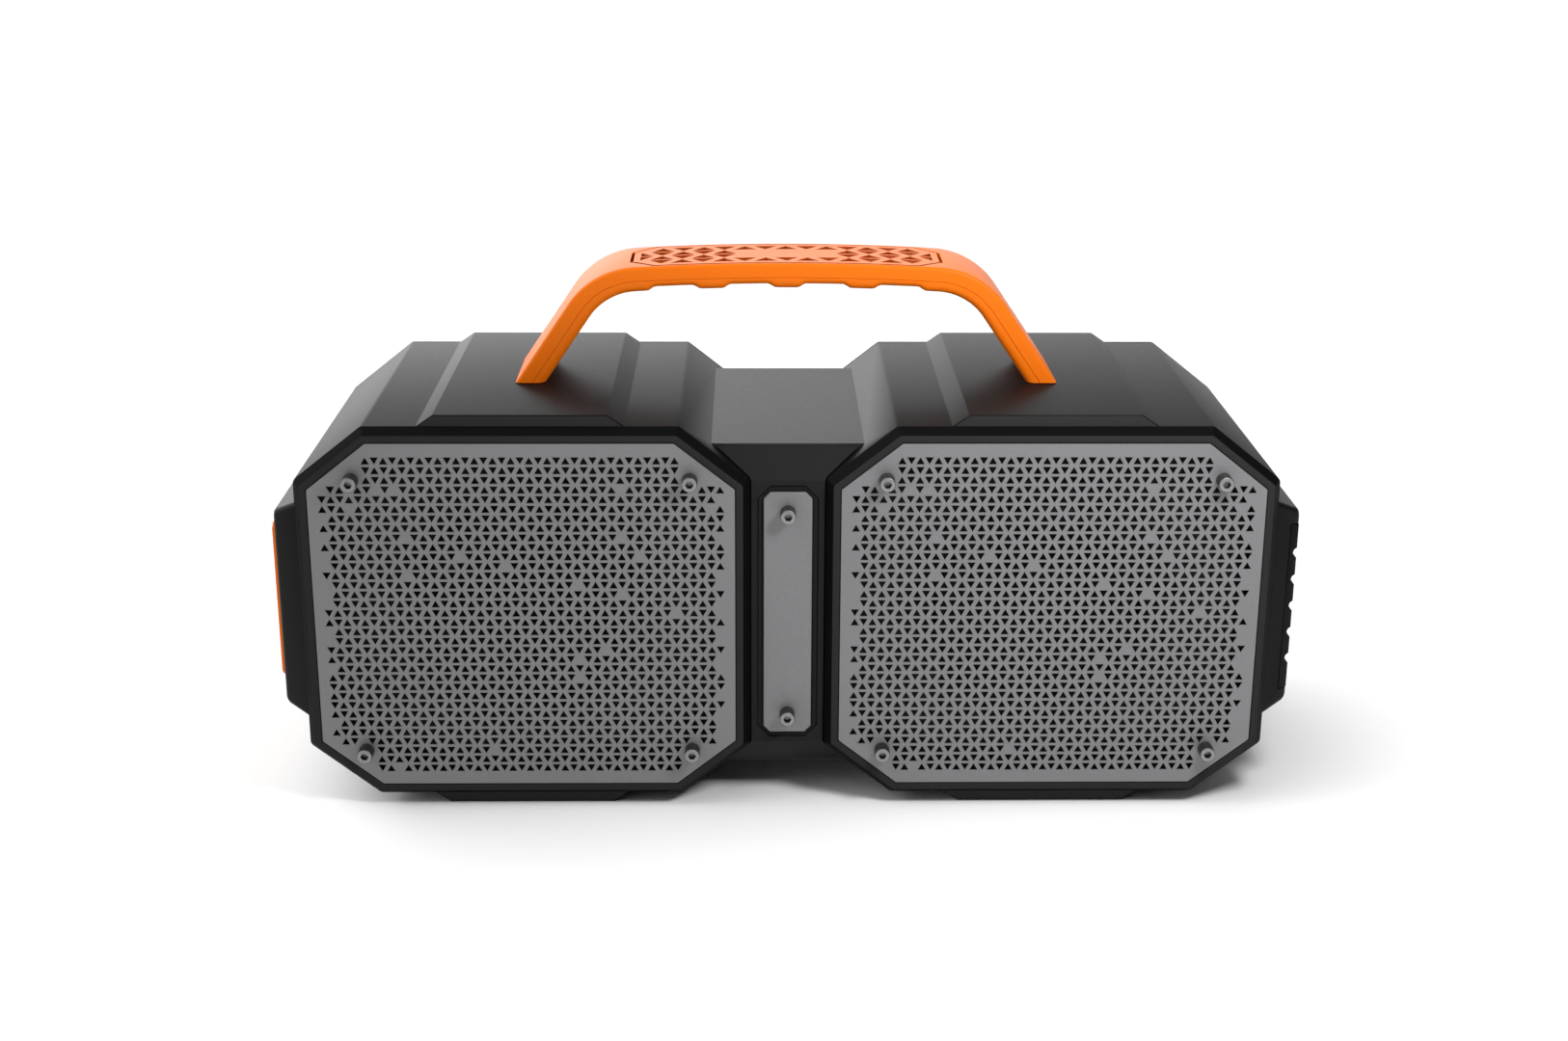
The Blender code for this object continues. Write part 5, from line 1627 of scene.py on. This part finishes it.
    def underside(self) -> Piece:
        """Build the lower shell with its finger valleys.

        Returns:
            The dressed piece.
        """
        half = self.shell.half.y
        edge, lip = self.low_edge, self.seam_lip
        base = self.thickness - edge
        seam = self.seam + self.seam_gap / 2
        low = [(half, seam + lip), *self.arc(edge, (half - edge, base), 0.0),
               *self.arc(edge, (edge - half, base), math.pi / 2), (-half, seam + lip),
               (lip - half, seam), (half - lip, seam)]
        section = [(place, depth, self.finger_share((depth - base) / edge)) for place, depth in low]
        piece = smooth(self.sweep("handle_underside", section), self.crease)
        return dress(piece, ORANGE, "housing", "handle_grip")

    def crown_strip(self, name: str, top: float, depth: float) -> Piece:
        """Build a slab that follows the crown.

        Args:
            name: Name of the object.
            top: Depth of its upper face below the handle's outer face.
            depth: Depth of its lower face.

        Returns:
            A closed solid.
        """
        reach = self.crown_half + self.strip_overhang
        upper: Outline = []
        for step in range(self.strip_steps + 1):
            across = reach * (2 * step / self.strip_steps - 1)
            upper.append((across, self.shell.high.z - across * across / (2 * self.crown_radius) - top))
        lower = [(across, up - (depth - top)) for across, up in reversed(upper)]
        middle, reach = self.shell.centre.y, self.strip_half_depth
        return prism(name, upper + lower, Axis.Y, middle - reach, middle + reach)

    def pad_block(self, grow: float) -> Piece:
        """Build an upright block with the pad's outline.

        Args:
            grow: Distance outside the pad's edge.

        Returns:
            A closed solid.
        """
        pad = Span.of("handle_pad")
        cut = self.pad_cut + grow * CUT_GROWTH
        outline = octagon(pad.half.x + grow, pad.half.y + grow, cut, cut)
        outline = moved(outline, pad.centre.x, pad.centre.y)
        top, reach = self.shell.high.z, self.block_half_height
        return prism("pad_block", outline, Axis.Z, top - reach, top + reach)

    def pad_recipe(self) -> Recipe:
        """Start the tree of the pad.

        Returns:
            The tree with its named inputs.
        """
        side = self.facet_height * 2 / math.sqrt(3)
        return Recipe("pad_facets", {
            "Column pitch": self.facet_pitch * MM,
            "Row pitch": self.facet_row_pitch * MM,
            "Columns": self.facet_columns,
            "Rows": self.facet_rows,
            "Triangle side": side * MM,
            "Widen": self.facet_width / side,
            "Draft": self.facet_draft,
            "Bare half": self.bare_half * MM,
            "Facet depth": self.facet_depth * MM,
            "Proud": 1 + self.facet_proud,
            "Crown radius": self.crown_radius * MM,
            "Top": self.shell.high.z * MM,
            "Middle": self.shell.centre.y * MM,
            "Field": self.pad_block(-self.facet_border)})

    def pad(self) -> Piece:
        """Build the pad with its sunk triangles and a bare field in the middle.

        Returns:
            The dressed piece.
        """
        piece = self.crown_strip("handle_top_pad", 0.0, self.pad_thickness)
        combine(piece, self.pad_block(0.0), Cut.INTERSECT)
        recipe = self.pad_recipe()
        points, across, up, turn = recipe.lattice()
        outer_row = abs(up) > recipe.size("Row pitch")
        wide = abs(across) > recipe.size("Bare half")
        radius = recipe.size("Triangle side") / math.sqrt(3)
        facet = recipe.node("GeometryNodeMeshCone", None, {
            "Vertices": 3, "Radius Top": radius, "Radius Bottom": radius * recipe.size("Draft"),
            "Depth": recipe.size("Facet depth") * recipe.size("Proud")}, "Mesh")
        facets = recipe.node("GeometryNodeInstanceOnPoints", None, {
            "Points": points, "Selection": wide.maths("MAXIMUM", wide, outer_row), "Instance": facet,
            "Rotation": turn, "Scale": recipe.vector(X=1.0, Y=recipe.size("Widen"), Z=1.0)})
        reach, _ = recipe.place()
        sag = reach * reach / (recipe.size("Crown radius") * 2.0)
        rise = recipe.size("Top") - sag - recipe.size("Facet depth")
        facets = recipe.node("GeometryNodeSetPosition", None, {
            "Geometry": recipe.realised(facets), "Offset": recipe.vector(Y=recipe.size("Middle"), Z=rise)})
        facets = recipe.boolean(Cut.INTERSECT, {"Mesh 2": [facets, recipe.shape("Field")]})
        sunk = recipe.boolean(Cut.DIFFERENCE, {"Mesh 1": recipe.base(), "Mesh 2": facets})
        recipe.close(sunk, PAD)
        recipe.run(piece)
        bpy.data.objects.remove(recipe.sizes["Field"])
        return dress(smooth(piece, self.pad_crease), PAD, "housing", "handle_pad")


class Key(Enum):
    """Push key of the side panel, named for what it does."""

    POWER = "power"
    MINUS = "minus"
    PLAY = "play"
    PLUS = "plus"
    PAIR = "pair"

    @property
    def node(self) -> str:
        """Name of the key's CAD node."""
        return f"key_{self.value}"


@dataclass
class KeyRow:
    """Orange panel on the left boss and its five push keys."""

    cut: float = 2.0
    corner: float = 1.0
    bevel: float = 0.6
    mouth: float = 0.4
    key_cut: float = 3.5
    key_corner: float = 0.9
    key_edge: float = 0.5
    flange: float = 1.2
    flange_thickness: float = 1.4
    corner_steps: int = 4
    crease: float = 26.0
    clearance: float = 0.4
    sign_depth: float = 0.35
    sign_reach: float = 3.2
    sign_half: float = 0.55

    def build(self) -> list[Piece]:
        """Build the panel and each key on its own body."""
        return [self.panel(), *(self.cap(key) for key in Key)]

    def outline(self, span: Span, grow: float, cut: float, radius: float) -> Outline:
        """Draw a chamfered outline in depth and height about a box.

        Args:
            span: The box.
            grow: Distance outside its faces.
            cut: Size of the cut corners.
            radius: Rounding of the corners.

        Returns:
            The outline, in place.
        """
        cut = cut + grow * CUT_GROWTH
        outline = octagon(span.half.y + grow, span.half.z + grow, cut, cut)
        return moved(rounded(outline, radius, self.corner_steps), span.centre.y, span.centre.z)

    def key_outline(self, span: Span, grow: float) -> Outline:
        """Return the outline of a key, or of its opening, about a box."""
        return self.outline(span, grow, self.key_cut, self.key_corner)

    def key_face(self, span: Span) -> Span:
        """Return a key's box without its flange."""
        shrink = Vector((0.0, self.flange, self.flange))
        return Span(span.low + shrink, span.high - shrink)

    def panel(self) -> Piece:
        """Build the bevelled panel with an opening for each key.

        Returns:
            The dressed piece.
        """
        span = Span.of("key_panel")
        low, high = span.low.x, span.high.x
        bulge = self.bevel * EDGE_BULGE
        profile = [(0.0, high), (0.0, low + self.bevel), (-bulge, low + bulge), (-self.bevel, low)]
        layers = [(self.outline(span, grow, self.cut, self.corner), x) for grow, x in profile]
        piece = stack("side_panel", Axis.X, layers)
        wide = self.clearance + self.mouth
        opening = [(self.clearance, high + OVERCUT), (self.clearance, low + self.mouth), (wide, low),
                   (wide, low - OVERCUT)]
        for key in Key:
            face = self.key_face(Span.of(key.node))
            layers = [(self.key_outline(face, grow), x) for grow, x in opening]
            combine(piece, stack("opening", Axis.X, layers))
        return dress(smooth(piece, self.crease), ORANGE, "housing", "key_panel")

    def cap(self, key: Key) -> Piece:
        """Build one key with its flange and a sunk sign.

        Args:
            key: Which key.

        Returns:
            The dressed piece.
        """
        span = Span.of(key.node)
        face = self.key_face(span)
        edge, bulge = self.key_edge, self.key_edge * EDGE_BULGE
        low, high = span.low.x, span.high.x
        flange = high - self.flange_thickness
        profile = [(span, 0.0, high), (span, 0.0, flange), (face, 0.0, flange), (face, 0.0, low + edge),
                   (face, -bulge, low + bulge), (face, -edge, low)]
        layers = [(self.key_outline(box, grow), x) for box, grow, x in profile]
        piece = stack(f"{key.value}_keycap", Axis.X, layers)
        for outline in self.sign(key):
            outline = moved(outline, face.centre.y, face.centre.z)
            cut_out(piece, outline, Axis.X, low - OVERCUT, low + self.sign_depth)
        return dress(smooth(piece, self.crease), ORANGE, f"{key.value}_key", key.node)

    def sign(self, key: Key) -> list[Outline]:
        """Draw a key's plain sign.

        Args:
            key: Which key.

        Returns:
            Outlines about the middle of the key's face.
        """
        reach, half = self.sign_reach, self.sign_half
        bar = rectangle(reach, half)
        if key is Key.MINUS:
            return [bar]
        if key is Key.PLUS:
            return [bar, rectangle(half, reach)]
        if key is Key.PLAY:
            tip, base, half_base = -2.8, 2.2, 3.0
            return [[(base, half_base), (base, -half_base), (tip, 0.0)]]
        if key is Key.POWER:
            stem_rise = 2.4
            return [self.broken_ring(), moved(rectangle(half, reach / 2), 0.0, stem_rise)]
        spot_radius, spot_steps, apart = 1.5, 20, 2.4
        link_half, link_half_width = 1.4, 0.4
        spot = circle(spot_radius, spot_steps)
        link = rectangle(link_half, link_half_width)
        return [moved(spot, -apart, 0.0), moved(spot, apart, 0.0), link]

    def broken_ring(self) -> Outline:
        """Draw a ring that is open at its top.

        Returns:
            The outline, round its outside and back along its inside.
        """
        width = 1.0
        steps, start, count = 32, 11, 27
        outer, inner = circle(self.sign_reach, steps), circle(self.sign_reach - width, steps)
        turns = [(start + step) % steps for step in range(count)]
        return [outer[turn] for turn in turns] + [inner[turn] for turn in reversed(turns)]


@dataclass
class PortDoor:
    """Ribbed door on the right boss, hinged at its rear edge."""

    # Share of the groove's depth and height over its middle, from the round upper lip downwards.
    GROOVE = ((0.0, 2.25), (0.45, 2.05), (0.8, 1.6), (0.97, 0.95), (1.0, 0.3), (0.93, -0.1), (0.0, -2.1))

    thickness: float = 3.6
    lean: float = 1.74
    knuckle_steps: int = 12
    bore_radius: float = 1.05
    bore_steps: int = 16
    grooves: int = 5
    groove_pitch: float = 11.1
    groove_depth: float = 1.7
    groove_stop: float = 8.0
    groove_clear: float = 1.5
    edge: float = 0.5
    edge_angle: float = 40.0
    edge_steps: int = 3
    crease: float = 28.0

    def build(self) -> list[Piece]:
        """Build the slab, its knuckle and its grooves.

        Returns:
            The dressed door.
        """
        span = Span.of("port_door")
        pin = Span.of("door_pin").centre
        radius = self.thickness / 2
        knuckle = []
        for step in range(self.knuckle_steps + 1):
            angle = math.pi * step / self.knuckle_steps
            knuckle.append((pin.x + radius * math.cos(angle), pin.y + radius * math.sin(angle)))
        outline = [*knuckle, (pin.x - radius, span.low.y), (pin.x + radius, span.low.y + self.lean)]
        piece = prism("ribbed_door", outline, Axis.Z, span.low.z, span.high.z)
        soften(piece, self.edge, self.edge_angle, self.edge_steps)
        bore = moved(circle(self.bore_radius, self.bore_steps), pin.x, pin.y)
        cut_out(piece, bore, Axis.Z, span.low.z - OVERCUT, span.high.z + OVERCUT)
        self.cut_grooves(piece, span, pin)
        return [dress(smooth(piece, self.crease), BODY, "door", "port_door")]

    def groove(self, span: Span, pin: Vector) -> Piece:
        """Build the cutter of one groove: a round upper lip and a slanted lower face.

        Args:
            span: Box of the door.
            pin: Middle of the hinge pin.

        Returns:
            A closed solid.
        """
        outer = span.high.x
        face = [(outer - self.groove_depth * deep, up) for deep, up in self.GROOVE]
        above = [(outer + self.groove_clear, 2.3)]
        below = [(outer + 0.3, -2.3), (outer + self.groove_clear, -2.4)]
        return prism("groove", above + face + below, Axis.Y, span.low.y - OVERCUT, pin.y - self.groove_stop)

    def cut_grooves(self, piece: Piece, span: Span, pin: Vector) -> None:
        """Cut the row of grooves by Geometry Nodes.

        Args:
            piece: The door.
            span: Its box.
            pin: Middle of the hinge pin.
        """
        recipe = Recipe("door_grooves", {
            "Grooves": self.grooves, "Pitch": self.groove_pitch * MM, "Middle": span.centre.z * MM,
            "Template": self.groove(span, pin)})
        low = recipe.size("Middle") - (recipe.size("Grooves") - 1) * recipe.size("Pitch") / 2.0
        points = recipe.node("GeometryNodeMeshLine", None, {
            "Count": recipe.size("Grooves"), "Start Location": recipe.vector(Z=low),
            "Offset": recipe.vector(Z=recipe.size("Pitch"))})
        copies = recipe.node("GeometryNodeInstanceOnPoints", None, {
            "Points": points, "Instance": recipe.shape("Template")})
        ribs = recipe.boolean(Cut.DIFFERENCE, {"Mesh 1": recipe.base(), "Mesh 2": recipe.realised(copies)})
        recipe.close(ribs, BODY)
        recipe.run(piece)
        bpy.data.objects.remove(recipe.sizes["Template"])


@dataclass
class RearCover:
    """Rear plate with bevelled rims over both barrels and its eight screws."""

    cabinet: Cabinet
    strip_setback: float = 0.6
    rim_foot: float = 0.4
    least_corner: float = 1.0
    corner_steps: int = 6
    seat_radius: float = 4.2
    seat_depth: float = 2.2
    seat_steps: int = 28
    crease: float = 28.0

    def build(self) -> list[Piece]:
        """Build the cover and its screws."""
        nodes = [node for side in Side for node in corner_nodes("rear_screw", side)]
        return [self.cover(nodes), fit_screws("pan_screws_rear", PanScrew(), nodes)]

    def cover(self, screws: Sequence[str]) -> Piece:
        """Build the plate with a seat for each screw.

        Args:
            screws: CAD nodes of the screws.

        Returns:
            The dressed piece.
        """
        cabinet = self.cabinet
        back = Span.of("rear_cover").high.y
        front = cabinet.shell.high.y + GAP
        strip = rectangle(cabinet.inner_reach, cabinet.panel_half_height)
        strip = moved(strip, 0.0, cabinet.left.plate.centre.z)
        piece = prism("rear_plate", strip, Axis.Y, front, back - self.strip_setback)
        for part in cabinet.barrels:
            # Each ring: distance outside the grille plate's edge, place from front to back.
            foot = [(part.rim, front), (part.rim, front + self.rim_foot)]
            edge = [(3.6, back - 0.5), (3.1, back - 0.12), (2.4, back)]
            layers = []
            for offset, place in (*foot, *edge):
                radius = max(self.least_corner, offset / 2)
                outline = rounded(part.outline(offset), radius, self.corner_steps)
                layers.append((part.in_place(outline), place))
            combine(piece, stack("rim", Axis.Y, layers), Cut.UNION)
        for node in screws:
            centre = Span.of(node).centre
            seat = moved(circle(self.seat_radius, self.seat_steps), centre.x, centre.z)
            cut_out(piece, seat, Axis.Y, back - self.seat_depth, back + OVERCUT)
        return dress(smooth(piece, self.crease), BODY, "housing", "rear_cover")


@dataclass
class CarriedOver:
    """CAD nodes whose shape stays and that only get a finish."""

    nodes: Mapping[str, Piece]
    finishes: tuple[Finish, ...] = (
        BODY, TRIM, GRILLE, STEEL, ORANGE, RUBBER, CONE, DRIVER, COPPER, BOARD, WRAP, SOCKET)

    def build(self) -> list[Piece]:
        """Give every node of the frame the finish of its material slot.

        Returns:
            The nodes, also those that another piece replaces.
        """
        known = {finish.slot: finish for finish in self.finishes}
        for item in self.nodes.values():
            for place in item.material_slots:
                label = place.material.name.split(".")[0] if place.material else BODY.slot
                place.material = known.get(label, BODY).material()
        return list(self.nodes.values())


@dataclass
class Suspension:
    """Rubber surround and corrugated spider of one driver, between frame and cone."""

    SAME_PLACE = 1e-6

    side: Side
    nodes: Mapping[str, Piece]
    roll_inner: float = 36.0
    roll_outer: float = 45.1
    spider_inner: float = 13.1
    spider_outer: float = 33.5

    def build(self) -> list[Piece]:
        """Build both rings from their CAD nodes."""
        return [self.ring("surround", RUBBER, self.roll_inner, self.roll_outer),
                self.ring("spider", CONE, self.spider_inner, self.spider_outer)]

    def ring(self, label: str, finish: Finish, inner: float, outer: float) -> Piece:
        """Copy a ring's CAD mesh into a piece of its own.

        Its points are laid out along a line by radius and then put back where they were.

        Args:
            label: First word of the CAD node's name.
            finish: The ring's material.
            inner: Not used.
            outer: Not used.

        Returns:
            The dressed piece.
        """
        node = f"{label}_{self.side.value}"
        sheet = bmesh.new()
        sheet.from_mesh(self.nodes[node].data)
        bmesh.ops.remove_doubles(sheet, verts=sheet.verts, dist=self.SAME_PLACE)
        piece = as_object(f"flexing_{node}", sheet)
        hub = Span.of(node).centre * MM
        places = [vertex.co.copy() for vertex in piece.data.vertices]
        for vertex in piece.data.vertices:
            away = vertex.co - hub
            vertex.co = Vector((math.hypot(away.x, away.z), 0.0, 0.0))
        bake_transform(piece)
        for vertex, place in zip(piece.data.vertices, places):
            vertex.co = place
        return coat(piece, finish, node)


@dataclass(frozen=True)
class SkyPatch:
    """Soft bright patch of the surround."""

    towards: Point
    strength: float
    narrowness: float = 5.0

    def glow(self, sheet: Sheet, direction: Wire) -> Wire:
        """Light the surround.

        Args:
            sheet: Tree of the world.
            direction: Direction that is looked in.

        Returns:
            The patch's light in each direction.
        """
        facing = sheet.dot(direction, Vector(self.towards).normalized())
        fade = (facing - 1.0) * self.narrowness
        return fade.maths("EXPONENT", fade) * self.strength


@dataclass
class Studio:
    """White floor, soft light and a camera at the photograph's angle."""

    patches: tuple[SkyPatch, ...] = (
        SkyPatch((-0.7, 0.0, 0.7), 3.3), SkyPatch((-0.45, 0.88, 0.15), 2.4), SkyPatch((0.0, 1.0, 0.3), 1.1))
    lens: float = 50.0
    sensor: float = 36.0
    place: Point = (-14.457, -861.53, 382.99)
    pitch: float = math.radians(18.328)
    yaw: float = math.radians(-0.928)
    roll: float = math.radians(-0.247)
    floor_half: float = 6000.0
    floor_drop: float = 0.2
    floor_shade: float = 0.92
    floor_roughness: float = 0.8
    lamp_place: Point = (200.0, -280.0, 360.0)
    lamp_aim: Point = (0.0, 0.0, 90.0)
    lamp_size: float = 100.0
    lamp_watts: float = 1.3

    def build(self) -> None:
        """Set up floor, light and camera."""
        self.camera()
        self.floor()
        self.sky()
        self.lamp()
        bpy.context.scene.view_settings.view_transform = "Standard"

    def camera(self) -> None:
        """Place the camera."""
        sin, cos = math.sin, math.cos
        level = Vector((-sin(self.yaw), cos(self.yaw), 0.0))
        right = Vector((cos(self.yaw), sin(self.yaw), 0.0))
        ahead = level * cos(self.pitch) - Vector((0.0, 0.0, sin(self.pitch)))
        above = level * sin(self.pitch) + Vector((0.0, 0.0, cos(self.pitch)))
        image_right = right * cos(self.roll) - above * sin(self.roll)
        image_up = right * sin(self.roll) + above * cos(self.roll)
        matrix = Matrix((image_right, image_up, -ahead)).transposed().to_4x4()
        matrix.translation = Vector(self.place) * MM
        data = bpy.data.cameras.new("camera")
        data.lens = self.lens
        data.sensor_width = self.sensor
        camera = bpy.data.objects.new("camera", data)
        camera.matrix_world = matrix
        bpy.context.scene.collection.objects.link(camera)
        bpy.context.scene.camera = camera

    def floor(self) -> None:
        """Lay a plain white floor."""
        sheet = bmesh.new()
        bmesh.ops.create_grid(sheet, x_segments=4, y_segments=4, size=self.floor_half * MM)
        bmesh.ops.translate(sheet, verts=sheet.verts, vec=(0.0, 0.0, -self.floor_drop * MM))
        floor = as_object("floor", sheet)
        material = bpy.data.materials.new("white_floor")
        material.use_nodes = True
        shader = material.node_tree.nodes["Principled BSDF"]
        shader.inputs["Base Color"].default_value = (*[self.floor_shade] * 3, 1.0)
        shader.inputs["Roughness"].default_value = self.floor_roughness
        floor.data.materials.append(material)

    def sky(self) -> None:
        """Surround the set with soft white light, brighter on the left and at the back."""
        world = bpy.data.worlds.new("white_surround")
        bpy.context.scene.world = world
        world.use_nodes = True
        world.node_tree.nodes.clear()
        sheet = Sheet(world.node_tree)
        direction = sheet.node("ShaderNodeTexCoord", output="Generated")
        light = sum(patch.glow(sheet, direction) for patch in self.patches)
        white = (1.0, 1.0, 1.0, 1.0)
        back = sheet.node("ShaderNodeBackground", None, {"Color": white, "Strength": light})
        sheet.end("ShaderNodeOutputWorld", "Surface", back)

    def lamp(self) -> None:
        """Hang a soft square lamp in front, out of the camera's sight."""
        data = bpy.data.lights.new("front_lamp", "AREA")
        data.size = self.lamp_size * MM
        data.energy = self.lamp_watts
        lamp = bpy.data.objects.new("front_lamp", data)
        lamp.location = Vector(self.lamp_place) * MM
        lamp.visible_camera = False
        towards = Vector(self.lamp_aim) - Vector(self.lamp_place)
        lamp.rotation_euler = towards.to_track_quat("-Z", "Y").to_euler()
        bpy.context.scene.collection.objects.link(lamp)


def main() -> None:
    """Load the frame, build every sub-assembly and report its pieces."""
    logging.basicConfig(level=logging.INFO, format="%(name)s %(message)s")
    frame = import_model()
    nodes = frame["nodes"]
    left, right = Barrel(Side.LEFT), Barrel(Side.RIGHT)
    cabinet = Cabinet(left, right)
    assemblies = (
        CarriedOver(nodes), Suspension(Side.LEFT, nodes), Suspension(Side.RIGHT, nodes), left, right,
        cabinet, CentreTrim(cabinet), Handle(), KeyRow(), PortDoor(), RearCover(cabinet))
    for assembly in assemblies:
        for piece in assembly.build():
            LOG.info("%s: %s with %d faces", type(assembly).__name__, piece.name, len(piece.data.polygons))
    Studio().build()


if __name__ == "__main__":
    main()
